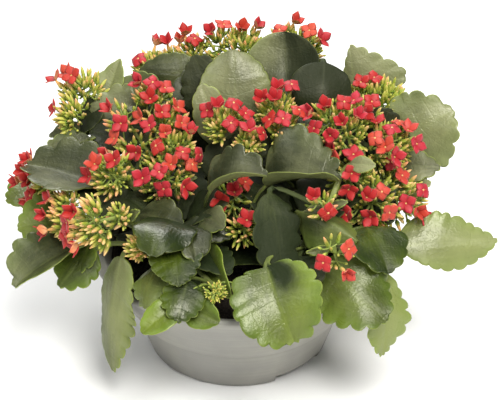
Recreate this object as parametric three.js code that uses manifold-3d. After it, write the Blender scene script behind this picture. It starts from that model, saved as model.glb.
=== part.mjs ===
// A flowering kalanchoe growing in a grey plastic bowl.
// Millimetres, +Z up. The front of the plant looks along -Y and the origin is the middle of the pot's foot.
import * as THREE from 'three';
import { mergeVertices } from 'three/addons/utils/BufferGeometryUtils.js';
import Module from 'manifold-3d';

const wasm = await Module();
wasm.setup();

// Driving dimensions
const gap = 0.3;
const facets = 30;
const pot = {
  rimRadius: 115, rimHeight: 94, creaseRadius: 83, creaseHeight: 38, footRadius: 69,
  wall: 3, floor: 6, lipWidth: 12, lipDrop: 5,
  notchAt: -47, notchSpan: 38, notchHeight: 7, notchDepth: 11,
};
const soil = { top: 80, mound: 4, holeDepth: 22 };
const stem = { radius: 5, sides: 6, crown: 112, steps: 2 };
const stalk = { radius: 2.6, sides: 5, steps: 3, holdBack: 4 };
const leaf = {
  stations: 8, fewStations: 6, broad: 40, thick: 2.4, edgeDip: 0.84, edgeSwell: 1.05,
  petioleWide: 2.2, petioleThick: 1.9, shoulder: 0.85, roundness: 0.6,
};
const floret = { radius: 8.6, waist: 4, cup: 1.2, neck: 1.5, neckDepth: 2.4, stagger: 2.2 };
const bud = {
  core: 0.5, shortest: 0.8, longest: 0.96, clear: 8.5, lowest: -0.1,
  rows: [[42, 5], [88, 7]],
};

// Where each plant leaves the soil
const roots = {
  front_left: [-42, -34],
  front_right: [42, -34],
  back_left: [-40, 40],
  back_right: [44, 40],
};

// Leaves that show from the front. at is the foot of the blade and tip its end, face is where its upper
// side looks, wide is its widest, arch is how far the midrib bows and cup how many degrees the sides rise.
// A shoulder over 1 puts the widest part nearer the tip.
const leaves = {
  back_left: [
    { at: [-26, 73, 197], tip: [-78, 88, 191], face: [0, -1, 0.5], wide: 32, arch: 4, cup: -10 },
    { at: [-35, 45, 160], tip: [-29, 75, 206], face: [0.2, -1, 0.4], wide: 44, arch: 3, cup: -8 },
    { at: [-57, 55, 176], tip: [-99, 80, 182], face: [0, -1, 0.6], wide: 42, arch: 4, cup: -6 },
    { at: [-76, 46, 177], tip: [-114, 54, 178], face: [0, -0.8, 0.8], wide: 44, arch: 4, cup: -8 },
    { at: [-104, 74, 173], tip: [-94, 95, 196], face: [-0.5, -1, 0.2], wide: 20, arch: 0, cup: 20 },
    { at: [-83, 32, 157], tip: [-114, 37, 166], face: [0, -0.8, 0.7], wide: 34, arch: 4, cup: -10 },
    { at: [-118, 51, 160], tip: [-149, 57, 150], face: [0, -0.6, 1], wide: 15, arch: 3, cup: -6 },
    { at: [-113, 31, 162], tip: [-148, 16, 161], face: [-0.1, -0.3, 1], wide: 27, arch: -3, cup: 20 },
  ],
  front_left: [
    { at: [-104, -20, 151], tip: [-159, 2, 156], face: [0.1, -0.2, 1], wide: 66, arch: 3, cup: 24 },
    { at: [-81, -28, 136], tip: [-121, -18, 149], face: [0, -0.2, 1], wide: 46, arch: 4, cup: 4 },
    { at: [-146, 41, 115], tip: [-181, 21, 111], face: [-0.2, -0.4, 1], wide: 40, arch: 3, cup: -6 },
    { at: [-126, -30, 114], tip: [-164, -40, 123], face: [0, -0.6, 0.8], wide: 46, arch: 4, cup: 4 },
    { at: [-119, -51, 116], tip: [-164, -71, 94], face: [0, -0.1, 1], wide: 58, arch: 4, cup: 28 },
    { at: [-110, -45, 114], tip: [-117, -62, 101], face: [-0.5, -0.8, 0.5], wide: 22, arch: 2, cup: 0 },
    { at: [-89, -72, 114], tip: [-93, -88, 29], face: [-0.7, -0.8, 0], wide: 30, arch: 5, cup: -12 },
    { at: [-57, -80, 120], tip: [-65, -110, 103], face: [-0.6, -0.6, 0.6], wide: 34, arch: 3, cup: -14 },
    { at: [-46, -50, 138], tip: [-60, -100, 142], face: [0, -0.3, 1], wide: 46, arch: 9, cup: -8 },
    { at: [-46, -70, 134], tip: [-41, -112, 124], face: [0, -0.3, 1], wide: 36, arch: 4, cup: 0 },
    { at: [-38, -60, 141], tip: [-29, -95, 133], face: [0.3, -0.3, 1], wide: 30, arch: 4, cup: 6 },
    { at: [-35, -100, 121], tip: [-42, -127, 103], face: [0, -1, 0.6], wide: 30, arch: 3, cup: -8 },
    { at: [-44, -112, 107], tip: [-66, -130, 97], face: [-0.2, -0.7, 0.8], wide: 24, arch: 3, cup: 12 },
    { at: [-36, -110, 103], tip: [-13, -121, 99], face: [0, -0.9, 0.6], wide: 20, arch: 2, cup: 6 },
    { at: [-22, -50, 118], tip: [-4, -106, 110], face: [-0.9, -0.3, 0.5], wide: 26, arch: 3, cup: 8 },
    { at: [-42, -50, 133], tip: [-4, -60, 131], face: [0, -0.5, 1], wide: 22, arch: 4, cup: 0 },
    { at: [-72, -36, 135], tip: [-39, -61, 143], face: [0, -0.6, 0.8], wide: 32, arch: 4, cup: 4 },
    { at: [-24, -45, 142], tip: [-9, -66, 143], face: [0, -0.8, 0.7], wide: 22, arch: 2, cup: 0 },
    { at: [-19, -45, 162], tip: [22, -60, 184], face: [-0.2, -0.3, 1], wide: 48, arch: 7, cup: 30 },
    { at: [-17, -4, 144], tip: [-1, 14, 172], face: [0, -1, 0.6], wide: 36, arch: 3, cup: 4 },
  ],
  front_right: [
    { at: [22, -30, 157], tip: [75, -45, 171], face: [0, -0.2, 1], wide: 78, arch: 6, cup: 38 },
    { at: [24, -45, 160], tip: [29, -88, 117], face: [0.4, -0.9, 0.6], wide: 28, arch: 5, cup: -6 },
    { at: [44, -50, 147], tip: [87, -80, 141], face: [0, -0.5, 0.9], wide: 54, arch: 7, cup: -48 },
    { at: [95, -60, 139], tip: [109, -95, 123], face: [0.3, -0.6, 0.8], wide: 48, arch: 4, cup: 6 },
    { at: [120, -45, 113], tip: [196, -35, 112], face: [0, -0.7, 0.7],
      wide: 41, arch: 2, cup: -12, shoulder: 0.7 },
    { at: [61, -80, 121], tip: [107, -117, 97], face: [0.2, -0.8, 0.7], wide: 56, arch: 6, cup: -6 },
    { at: [102, -85, 118], tip: [107, -102, 55], face: [0.6, -0.8, 0.1], wide: 38, arch: 5, cup: 10 },
    { at: [22, -95, 128], tip: [41, -132, 86], face: [-0.2, -0.8, 0.7], wide: 66, arch: 5, cup: -8 },
    { at: [46, -75, 123], tip: [58, -105, 118], face: [0, -0.5, 0.9], wide: 26, arch: 3, cup: 0 },
  ],
  back_right: [
    { at: [0, 20, 164], tip: [-3, 50, 229], face: [0, -1, 0.8], wide: 54, arch: 5, cup: -10, shoulder: 1.2 },
    { at: [40, 35, 187], tip: [36, 75, 232], face: [0.1, -1, 0.5],
      wide: 62, arch: -4, cup: 20, shoulder: 1.2 },
    { at: [62, 55, 210], tip: [74, 20, 198], face: [0, -0.3, 1], wide: 44, arch: 8, cup: -10 },
    { at: [107, 80, 172], tip: [101, 101, 204], face: [0.1, -1, 0.3],
      wide: 46, arch: 3, cup: 8, shoulder: 1.1 },
    { at: [121, 30, 154], tip: [165, 37, 185], face: [-0.2, -0.9, 0.5], wide: 66, arch: 4, cup: -5 },
    { at: [112, 20, 143], tip: [155, 8, 150], face: [0, -0.7, 0.8], wide: 28, arch: 4, cup: 0 },
    { at: [124, 18, 132], tip: [147, -3, 141], face: [0, -0.7, 0.8], wide: 20, arch: 3, cup: 0 },
  ],
};

// Leaves round the back and the sides, in tiers by rule: turn is in degrees from +X
const tiers = [
  { from: 8, to: 172, count: 8, reach: 88, length: 66, height: 118, rise: -18, wide: 50 },
  { from: 32, to: 150, count: 6, reach: 76, length: 60, height: 142, rise: 8, wide: 46 },
  { from: 58, to: 122, count: 2, reach: 66, length: 50, height: 164, rise: 20, wide: 42 },
];

// Flower heads. Every cyme is a dome of buds about its fork: crest is the middle of the dome, lean where it
// looks, reach its radius and blooms the places of the open florets across it, sideways and upwards.
const heads = {
  cluster_left_back: {
    plant: 'back_left',
    cymes: [
      { crest: [-120, 64, 165], lean: [-0.6, -0.6, 0.7], reach: 12, blooms: [] },
      { crest: [-127, 60, 200], lean: [-0.3, -0.4, 1], reach: 24, blooms: [[-9, 12], [-2, 3], [-15, 4]] },
      { crest: [-140, 42, 184], lean: [-0.8, -0.4, 0.7], reach: 20, blooms: [[-9, 5]] },
    ],
  },
  head_left_outer: {
    plant: 'front_left',
    cymes: [
      { crest: [-163, 5, 141], lean: [-1, -0.5, 0.3], reach: 24,
        blooms: [[-7, 16], [-2, 6], [-9, -1], [-8, -9], [-7, -16]] },
    ],
  },
  head_left_low: {
    plant: 'front_left',
    cymes: [
      { crest: [-137, -48, 149], lean: [-0.7, -0.7, 0.5], reach: 20, blooms: [[-6, 7], [-7, -5]] },
      { crest: [-136, -60, 138], lean: [-0.7, -0.8, 0.2], reach: 20, blooms: [[-12, -5]] },
    ],
  },
  head_left_front: {
    plant: 'front_left',
    cymes: [
      { crest: [-91, -64, 155], lean: [-0.5, -0.8, 0.8], reach: 14, blooms: [] },
      { crest: [-121, -80, 151], lean: [-1, -0.5, 0], reach: 26,
        blooms: [[-1, 14], [-3, 4], [-3, -7], [1, -16]] },
    ],
  },
  head_left_bud: {
    plant: 'front_left',
    cymes: [{ crest: [-82, -82, 137], lean: [-0.8, -0.7, 0.4], reach: 18, blooms: [] }],
  },
  head_front_bud: {
    plant: 'front_left',
    cymes: [{ crest: [-12, -124, 124], lean: [0.2, -1, 0.4], reach: 16, blooms: [] }],
  },
  head_left_inner: {
    plant: 'front_left',
    cymes: [
      { crest: [-101, -39, 175], lean: [-0.5, -0.8, 0.7], reach: 22,
        blooms: [[-13, -2], [-4, 6], [11, 7]] },
    ],
  },
  cluster_left: {
    plant: 'front_left',
    cymes: [
      { crest: [-53, -35, 170], lean: [0, -0.9, 0.8], reach: 26,
        blooms: [[5, 9], [-4, 2], [-15, -2], [-1, -11], [20, 10], [13, -8]] },
      { crest: [-42, -15, 185], lean: [0.3, -0.8, 1], reach: 24,
        blooms: [[-11, 11], [-17, -1], [7, 8], [3, -6], [17, -5]] },
      { crest: [-87, -5, 179], lean: [-0.6, -0.7, 0.9], reach: 24, blooms: [[11, -8], [-7, 6], [-11, -6]] },
      { crest: [-58, 10, 196], lean: [-0.1, -0.7, 1], reach: 24,
        blooms: [[-17, 1], [-8, -8], [2, 0], [14, 10], [16, -5]] },
      { crest: [-94, 15, 195], lean: [-0.6, -0.6, 0.9], reach: 22, blooms: [[-4, 3], [6, -10]] },
      { crest: [-64, 30, 205], lean: [0, -0.6, 1], reach: 22, blooms: [[-2, -6], [-10, 9], [0, 6], [10, 6]] },
    ],
  },
  cluster_back: {
    plant: 'back_left',
    cymes: [
      { crest: [-35, 104, 212], lean: [0, -0.4, 1], reach: 20, blooms: [[-8, 11], [1, 0]] },
      { crest: [-54, 106, 204], lean: [0, -0.2, 1], reach: 20, blooms: [[-3, 10], [7, 10]] },
      { crest: [-74, 106, 200], lean: [-0.3, -0.2, 1], reach: 20, blooms: [[-8, -3], [7, 9]] },
      { crest: [-14, 105, 221], lean: [-0.1, -0.3, 1], reach: 24, blooms: [[3, 8], [-7, -3]] },
      { crest: [8, 100, 221], lean: [0.2, -0.3, 1], reach: 24, blooms: [[-5, 5], [7, 6]] },
    ],
  },
  head_back_right: {
    plant: 'back_right',
    cymes: [
      { crest: [36, 100, 223], lean: [-0.2, -0.3, 1], reach: 22, blooms: [[-4, 2], [8, 7]] },
      { crest: [58, 95, 222], lean: [0.3, -0.3, 1], reach: 22, blooms: [[-1, 5], [8, -4]] },
    ],
  },
  cluster_centre: {
    plant: 'back_right',
    cymes: [
      { crest: [29, 10, 212], lean: [0, -0.5, 1], reach: 24,
        blooms: [[-11, -1], [-1, -4], [11, 12], [1, 8]] },
      { crest: [34, -10, 203], lean: [0, -0.7, 1], reach: 22, blooms: [[-11, 2], [0, 0], [11, 8]] },
      { crest: [12, -16, 196], lean: [0.2, -0.7, 1], reach: 20, blooms: [[-3, 2], [8, 0]] },
      { crest: [-11, -5, 206], lean: [-0.1, -0.6, 1], reach: 24,
        blooms: [[-13, 6], [-3, 4], [8, 7], [7, -8], [17, 2]] },
    ],
  },
  cluster_right: {
    plant: 'front_right',
    cymes: [
      { crest: [100, -50, 156], lean: [0, -0.9, 0.6], reach: 28,
        blooms: [[7, 8], [-5, 3], [-18, -9], [-2, -12], [12, -8]] },
      { crest: [133, -30, 145], lean: [0.6, -0.9, 0.5], reach: 26,
        blooms: [[-7, -3], [9, 7], [13, -14], [6, -10]] },
      { crest: [79, -35, 174], lean: [-0.3, -0.9, 0.8], reach: 26,
        blooms: [[-9, 6], [6, 12], [5, -3], [-12, 17], [2, -14]] },
      { crest: [120, -20, 163], lean: [0.4, -0.9, 0.8], reach: 22, blooms: [[5, -2], [-4, 8]] },
      { crest: [108, -15, 191], lean: [0.1, -0.8, 1], reach: 26,
        blooms: [[-4, 14], [7, 8], [-6, -2], [2, -8], [9, -14]] },
      { crest: [127, 0, 186], lean: [0.6, -0.6, 0.9], reach: 24, blooms: [[-3, 12], [1, 2], [8, -7]] },
      { crest: [79, -15, 201], lean: [-0.2, -0.8, 1], reach: 24, blooms: [[-2, 2], [9, 6], [-10, -7]] },
      { crest: [65, -5, 207], lean: [-0.4, -0.6, 1], reach: 24,
        blooms: [[-1, 5], [-12, 2], [13, 6], [-12, -10]] },
      { crest: [93, 10, 203], lean: [0, -0.5, 1], reach: 22, blooms: [[-6, 9], [8, 5], [2, -7]] },
    ],
  },
  head_right_top: {
    plant: 'back_right',
    cymes: [
      { crest: [99, 53, 196], lean: [-0.1, -0.4, 1], reach: 24, blooms: [[-4, 9], [7, 13]] },
      { crest: [121, 54, 198], lean: [0.4, -0.3, 1], reach: 24, blooms: [] },
    ],
  },
  head_front_middle: {
    plant: 'front_left',
    cymes: [
      { crest: [-7, -35, 153], lean: [-0.2, -0.9, 0.8], reach: 22,
        blooms: [[13, 12], [-5, -5], [5, 1]] },
    ],
  },
  head_right_inner: {
    plant: 'front_right',
    cymes: [{ crest: [59, -74, 171], lean: [-0.3, -0.9, 0.8], reach: 16, blooms: [[-5, 4], [6, -8]] }],
  },
  head_right_front: {
    plant: 'front_right',
    cymes: [{ crest: [70, -112, 148], lean: [0, -1, 0.4], reach: 20, blooms: [[-10, -5], [9, 6], [6, -9]] }],
  },
  head_middle_bud: {
    plant: 'front_right',
    cymes: [{ crest: [8, -65, 141], lean: [0.2, -1, 0.6], reach: 18, blooms: [[0, 8]] }],
  },
  head_rear_left: {
    plant: 'back_left',
    cymes: [{ crest: [-60, 140, 150], lean: [-0.3, 1, 0.7], reach: 22, blooms: [[-6, 4], [7, -3]] }],
  },
  head_rear_right: {
    plant: 'back_right',
    cymes: [{ crest: [46, 138, 184], lean: [0.1, 1, 0.8], reach: 22, blooms: [[-5, 6], [8, 0]] }],
  },
};

// A repeatable stream of numbers from 0 to 1
function seededStream(seed) {
  let state = seed;
  return () => {
    state = (state * 1664525 + 1013904223) % 4294967296;
    return state / 4294967296;
  };
}

function vector([x, y, z]) {
  return new THREE.Vector3(x, y, z);
}

// The part of a direction that is square to an axis
function squareTo(direction, axis) {
  return direction.clone().addScaledVector(axis, -direction.dot(axis)).normalize();
}

// A closed solid from a geometry, turned to face outwards
function toSolid(geometry) {
  const bare = new THREE.BufferGeometry();
  bare.setAttribute('position', geometry.getAttribute('position'));
  bare.setIndex(geometry.getIndex());
  const merged = mergeVertices(bare, 1e-4);
  const place = merged.getAttribute('position').array;
  const index = merged.getIndex().array;
  const triangles = [];
  let volume = 0;
  const corner = (i) => new THREE.Vector3().fromArray(place, 3 * i);
  for (let i = 0; i < index.length; i += 3) {
    const [a, b, c] = [index[i], index[i + 1], index[i + 2]];
    if (a === b || b === c || c === a) continue;
    triangles.push(a, b, c);
    volume += corner(a).dot(corner(b).cross(corner(c)));
  }
  if (volume < 0) triangles.reverse();
  return new wasm.Manifold(new wasm.Mesh({
    numProp: 3,
    vertProperties: new Float32Array(place),
    triVerts: new Uint32Array(triangles),
  }));
}

function fuse(solids) {
  return solids.reduce((whole, solid) => whole.add(solid));
}

function toMesh(name, solid, look) {
  const data = solid.getMesh();
  const geometry = new THREE.BufferGeometry();
  geometry.setAttribute('position', new THREE.BufferAttribute(new Float32Array(data.vertProperties), 3));
  geometry.setIndex(new THREE.BufferAttribute(new Uint32Array(data.triVerts), 1));
  geometry.computeVertexNormals();
  const mesh = new THREE.Mesh(geometry, new THREE.MeshStandardMaterial(look));
  mesh.name = name;
  return mesh;
}

// A solid skinned over rings of four points: left, top, right and bottom, ending in one point.
// The upper and the lower faces are split alike, so a waved blade never crosses itself.
function skin(rings, end) {
  const points = rings.flat().concat([end]);
  const triangles = [[0, 3, 2], [0, 2, 1]];
  const last = 4 * (rings.length - 1);
  for (let k = 0; k < 4; k += 1) {
    const next = (k + 1) % 4;
    for (let near = 0; near < last; near += 4) {
      const far = near + 4;
      if (k % 2 === 0) {
        triangles.push([near + k, near + next, far + next], [near + k, far + next, far + k]);
      } else {
        triangles.push([near + k, near + next, far + k], [near + next, far + next, far + k]);
      }
    }
    triangles.push([last + k, last + next, points.length - 1]);
  }
  const geometry = new THREE.BufferGeometry();
  geometry.setAttribute('position', new THREE.Float32BufferAttribute(points.flatMap((p) => p.toArray()), 3));
  geometry.setIndex(triangles.flat());
  return toSolid(geometry);
}

// The midrib, the sideways direction and the upward direction of a blade, at a share of its length
function bladeFrame(shape, share) {
  const foot = vector(shape.at);
  const run = vector(shape.tip).sub(foot);
  const length = run.length();
  const axis = run.clone().normalize();
  const up = squareTo(vector(shape.face), axis);
  const side = up.clone().cross(axis);
  const middle = foot.addScaledVector(run, share).addScaledVector(up, 4 * shape.arch * share * (1 - share));
  const climb = 4 * shape.arch * (1 - 2 * share);
  const heading = axis.multiplyScalar(length).addScaledVector(up, climb).normalize();
  return { middle, side, heading, up: heading.clone().cross(side) };
}

function bladeHalfWidth(shape, share) {
  return 0.5 * shape.wide * Math.sin(Math.PI * share ** (shape.shoulder ?? leaf.shoulder)) ** leaf.roundness;
}

// One leaf with its stalk, from a point on the stem to the tip of the blade
function leafSolid(shape, start) {
  const foot = bladeFrame(shape, 0);
  const span = foot.middle.distanceTo(start);
  const path = new THREE.CubicBezierCurve3(
    start,
    start.clone().lerp(foot.middle, 0.35).add(new THREE.Vector3(0, 0, 0.08 * span)),
    foot.middle.clone().addScaledVector(foot.heading, -0.3 * span),
    foot.middle,
  );
  const rings = [];
  for (const share of [0, 0.55]) {
    const heading = path.getTangent(share);
    const side = squareTo(foot.side, heading);
    const up = heading.clone().cross(side);
    const middle = path.getPoint(share);
    rings.push([
      middle.clone().addScaledVector(side, leaf.petioleWide),
      middle.clone().addScaledVector(up, leaf.petioleThick),
      middle.clone().addScaledVector(side, -leaf.petioleWide),
      middle.clone().addScaledVector(up, -leaf.petioleThick),
    ]);
  }
  const rise = THREE.MathUtils.degToRad(shape.cup);
  const stations = shape.wide > leaf.broad ? leaf.stations : leaf.fewStations;
  for (let i = 1; i < stations; i += 1) {
    const share = i / stations;
    const frame = bladeFrame(shape, share);
    const wave = i % 2 === 1 ? leaf.edgeSwell : leaf.edgeDip;
    const half = bladeHalfWidth(shape, share) * wave;
    const thick = 0.5 * leaf.thick * (1 - 0.3 * share);
    const edge = (sign) => frame.middle.clone()
      .addScaledVector(frame.side, sign * half * Math.cos(rise))
      .addScaledVector(frame.up, half * Math.sin(rise));
    rings.push([
      edge(1),
      frame.middle.clone().addScaledVector(frame.up, thick),
      edge(-1),
      frame.middle.clone().addScaledVector(frame.up, -thick),
    ]);
  }
  return skin(rings, bladeFrame(shape, 1).middle);
}

// A round stem or stalk along a curve
function rod(curve, radius, sides, steps) {
  const outline = [];
  for (let i = 0; i < sides; i += 1) {
    const turn = (2 * Math.PI * i) / sides;
    outline.push(new THREE.Vector2(radius * Math.cos(turn), radius * Math.sin(turn)));
  }
  const options = { steps, extrudePath: curve, bevelEnabled: false };
  return toSolid(new THREE.ExtrudeGeometry(new THREE.Shape(outline), options));
}

// The fork of a cyme, from which its buds fan out
function forkOf(cyme) {
  return vector(cyme.crest).addScaledVector(vector(cyme.lean).normalize(), -cyme.reach);
}

// Where an open floret stands about the fork of its cyme, from its place across the dome.
// Neighbours stand at three heights in turn, so that their petals pass over each other.
function bloomSpot(cyme, order) {
  const [across, upwards] = cyme.blooms[order];
  const axis = vector(cyme.lean).normalize();
  const right = squareTo(new THREE.Vector3(1, 0, 0), axis);
  const ahead = axis.clone().cross(right);
  const depth = Math.sqrt(Math.max(cyme.reach ** 2 - across ** 2 - upwards ** 2, 9));
  const spot = axis.multiplyScalar(depth).addScaledVector(right, across).addScaledVector(ahead, upwards);
  return spot.addScaledVector(spot.clone().normalize(), floret.stagger * ((order % 3) - 1));
}

// The core of a cyme: a small closed dome whose upper faces are raised to the points of buds,
// but for those that would touch an open floret or a neighbouring cyme
function budDome(cyme, head, random) {
  const fork = forkOf(cyme);
  const axis = vector(cyme.lean).normalize();
  const side = squareTo(new THREE.Vector3(1, 0.1, 0), axis);
  const ahead = axis.clone().cross(side);
  const points = [axis.clone()];
  const rings = bud.rows.map(([polar, count], row) => {
    const first = points.length;
    for (let i = 0; i < count; i += 1) {
      const turn = (2 * Math.PI * (i + 0.5 * row)) / count;
      const tilt = THREE.MathUtils.degToRad(polar);
      points.push(axis.clone().multiplyScalar(Math.cos(tilt))
        .addScaledVector(side, Math.sin(tilt) * Math.cos(turn))
        .addScaledVector(ahead, Math.sin(tilt) * Math.sin(turn)));
    }
    return { first, count };
  });
  points.push(axis.clone().negate());
  const faces = [];
  const top = rings[0];
  for (let i = 0; i < top.count; i += 1) faces.push([0, top.first + i, top.first + ((i + 1) % top.count)]);
  for (let row = 0; row < rings.length - 1; row += 1) faces.push(...band(points, rings[row], rings[row + 1]));
  const base = rings[rings.length - 1];
  for (let i = 0; i < base.count; i += 1) {
    faces.push([base.first + ((i + 1) % base.count), base.first + i, points.length - 1]);
  }
  const florets = head.cymes.flatMap((other) => (
    other.blooms.map((_, order) => bloomSpot(other, order).add(forkOf(other)))
  ));
  const others = head.cymes.filter((other) => other !== cyme).map(forkOf);
  const corners = points.map((p) => p.clone().multiplyScalar(bud.core * cyme.reach));
  const triangles = [];
  faces.forEach(([a, b, c]) => {
    const facing = points[a].clone().add(points[b]).add(points[c]).normalize();
    const length = cyme.reach * THREE.MathUtils.lerp(bud.shortest, bud.longest, random());
    const peak = facing.clone().multiplyScalar(length);
    const place = peak.clone().add(fork);
    const covered = florets.some((spot) => spot.distanceTo(place) < bud.clear);
    const crowded = others.some((other) => other.distanceTo(place) < 1.1 * length);
    if (covered || crowded || facing.dot(axis) < bud.lowest) {
      triangles.push([a, b, c]);
      return;
    }
    corners.push(peak);
    const tip = corners.length - 1;
    triangles.push([a, b, tip], [b, c, tip], [c, a, tip]);
  });
  const geometry = new THREE.BufferGeometry();
  const places = corners.flatMap((p) => p.add(fork).toArray());
  geometry.setAttribute('position', new THREE.Float32BufferAttribute(places, 3));
  geometry.setIndex(triangles.flat());
  return toSolid(geometry);
}

// The triangles between two rings of points that may differ in number
function band(points, upper, lower) {
  const faces = [];
  let i = 0;
  let j = 0;
  while (i < upper.count || j < lower.count) {
    const a = upper.first + (i % upper.count);
    const b = lower.first + (j % lower.count);
    const nextUpper = upper.first + ((i + 1) % upper.count);
    const nextLower = lower.first + ((j + 1) % lower.count);
    const upperTurn = points[nextUpper].distanceTo(points[b]);
    const lowerTurn = points[nextLower].distanceTo(points[a]);
    if (j >= lower.count || (i < upper.count && upperTurn < lowerTurn)) {
      faces.push([a, b, nextUpper]);
      i += 1;
    } else {
      faces.push([a, b, nextLower]);
      j += 1;
    }
  }
  return faces;
}

// An open floret: four petals in one cupped star, and its tube running back to the fork
function floretSolid(cyme, order, random) {
  const fork = forkOf(cyme);
  const axis = vector(cyme.lean).normalize();
  const spot = bloomSpot(cyme, order);
  const facing = spot.clone().normalize().addScaledVector(axis, 0.3).normalize();
  const centre = spot.add(fork);
  const side = squareTo(new THREE.Vector3(1, 0, 0), facing);
  const up = facing.clone().cross(side);
  const start = random() * 90;
  const at = (radius, degrees, lift) => {
    const turn = THREE.MathUtils.degToRad(degrees);
    return centre.clone()
      .addScaledVector(side, radius * Math.cos(turn))
      .addScaledVector(up, radius * Math.sin(turn))
      .addScaledVector(facing, lift);
  };
  const points = [];
  for (let petal = 0; petal < 4; petal += 1) {
    const turn = start + 90 * petal;
    points.push(at(floret.radius, turn, 0));
    points.push(at(floret.waist, turn + 45, -0.7 * floret.cup));
  }
  for (let petal = 0; petal < 4; petal += 1) {
    points.push(at(floret.neck, start + 90 * petal + 45, -floret.cup - floret.neckDepth));
  }
  points.push(at(0, 0, -floret.cup), fork.clone().lerp(centre, 0.4));
  const [middle, end] = [12, 13];
  const triangles = [];
  for (let petal = 0; petal < 4; petal += 1) {
    const tip = 2 * petal;
    const notch = tip + 1;
    const next = (tip + 2) % 8;
    const neck = 8 + petal;
    const before = 8 + ((petal + 3) % 4);
    triangles.push([middle, tip, notch], [middle, notch, next]);
    triangles.push([tip, before, neck], [notch, tip, neck], [next, notch, neck], [neck, before, end]);
  }
  const geometry = new THREE.BufferGeometry();
  geometry.setAttribute('position', new THREE.Float32BufferAttribute(points.flatMap((p) => p.toArray()), 3));
  geometry.setIndex(triangles.flat());
  return toSolid(geometry);
}

// The point where the stalk of a head ends, a little below the first cyme's dome
function stalkEnd(head) {
  const first = head.cymes[0];
  const axis = vector(first.lean).normalize();
  return forkOf(first).addScaledVector(axis, -bud.core * first.reach - stalk.holdBack);
}

function headSolid(head, random) {
  const solids = [];
  head.cymes.forEach((cyme, i) => {
    solids.push(budDome(cyme, head, random));
    cyme.blooms.forEach((_, order) => solids.push(floretSolid(cyme, order, random)));
    if (i > 0) {
      const link = new THREE.LineCurve3(forkOf(head.cymes[0]), forkOf(cyme));
      solids.push(rod(link, stalk.radius, stalk.sides, 1));
    }
  });
  const first = head.cymes[0];
  const axis = vector(first.lean).normalize();
  const foot = stalkEnd(head).addScaledVector(axis, gap);
  solids.push(rod(new THREE.LineCurve3(foot, forkOf(first)), stalk.radius, stalk.sides, 1));
  return fuse(solids);
}

// The main stem of a plant and the stalks that leave it for each head
function plantCurves(name) {
  const [x, y] = roots[name];
  const crown = new THREE.Vector3(1.15 * x, 1.15 * y, stem.crown);
  const trunk = new THREE.LineCurve3(new THREE.Vector3(x, y, soil.top + soil.mound - soil.holeDepth), crown);
  const stalks = Object.values(heads).filter((head) => head.plant === name).map((head) => {
    const end = stalkEnd(head);
    const axis = vector(head.cymes[0].lean).normalize();
    const span = end.distanceTo(crown);
    const start = trunk.getPoint(0.8);
    const lift = start.clone().lerp(end, 0.3).add(new THREE.Vector3(0, 0, 0.15 * span));
    return new THREE.CubicBezierCurve3(start, lift, end.clone().addScaledVector(axis, -0.35 * span), end);
  });
  return { trunk, stalks };
}

// The best place on a plant to carry a leaf: near the blade's foot and a little below it
function joinFor(shape, curves) {
  const foot = vector(shape.at);
  let best = null;
  let least = Infinity;
  const rods = [[curves.trunk, stem.steps], ...curves.stalks.map((curve) => [curve, stalk.steps])];
  for (const [curve, steps] of rods) {
    const knots = curve.getSpacedPoints(steps);
    for (let spot = 0.15 * steps; spot < 0.8 * steps; spot += 0.1) {
      const knot = Math.floor(spot);
      const point = knots[knot].clone().lerp(knots[knot + 1], spot - knot);
      if (point.z < soil.top + 14) continue;
      const cost = point.distanceTo(foot) + 1.5 * Math.max(0, point.z - foot.z + 12);
      if (cost < least) {
        least = cost;
        best = point;
      }
    }
  }
  return best;
}

// Leaves of the tiers, each given to the plant whose root is nearest
function tierLeaves() {
  const random = seededStream(7);
  const byPlant = Object.fromEntries(Object.keys(roots).map((name) => [name, []]));
  for (const tier of tiers) {
    for (let i = 0; i < tier.count; i += 1) {
      const share = (i + 0.5) / tier.count;
      const bearing = THREE.MathUtils.lerp(tier.from, tier.to, share) + 8 * (random() - 0.5);
      const turn = THREE.MathUtils.degToRad(bearing);
      const rise = THREE.MathUtils.degToRad(tier.rise + 14 * (random() - 0.5));
      const out = new THREE.Vector3(Math.cos(turn), Math.sin(turn), 0);
      const along = out.clone().multiplyScalar(Math.cos(rise)).setZ(Math.sin(rise));
      const at = out.clone().multiplyScalar(tier.reach).setZ(tier.height + 8 * (random() - 0.5));
      const tip = at.clone().addScaledVector(along, tier.length * (0.9 + 0.2 * random()));
      const plant = Math.cos(turn) < 0 ? 'back_left' : 'back_right';
      const shape = { at: at.toArray(), tip: tip.toArray(), face: [0, 0, 1], wide: tier.wide, arch: 6, cup: 6 };
      byPlant[plant].push(shape);
    }
  }
  return byPlant;
}

function plantSolid(name, extra) {
  const curves = plantCurves(name);
  const solids = [rod(curves.trunk, stem.radius, stem.sides, stem.steps)];
  curves.stalks.forEach((curve) => solids.push(rod(curve, stalk.radius, stalk.sides, stalk.steps)));
  for (const shape of [...leaves[name], ...extra]) solids.push(leafSolid(shape, joinFor(shape, curves)));
  return fuse(solids);
}

function turned(profile) {
  const geometry = new THREE.LatheGeometry(profile.map(([r, z]) => new THREE.Vector2(r, z)), facets);
  geometry.rotateX(Math.PI / 2);
  return toSolid(geometry);
}

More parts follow.
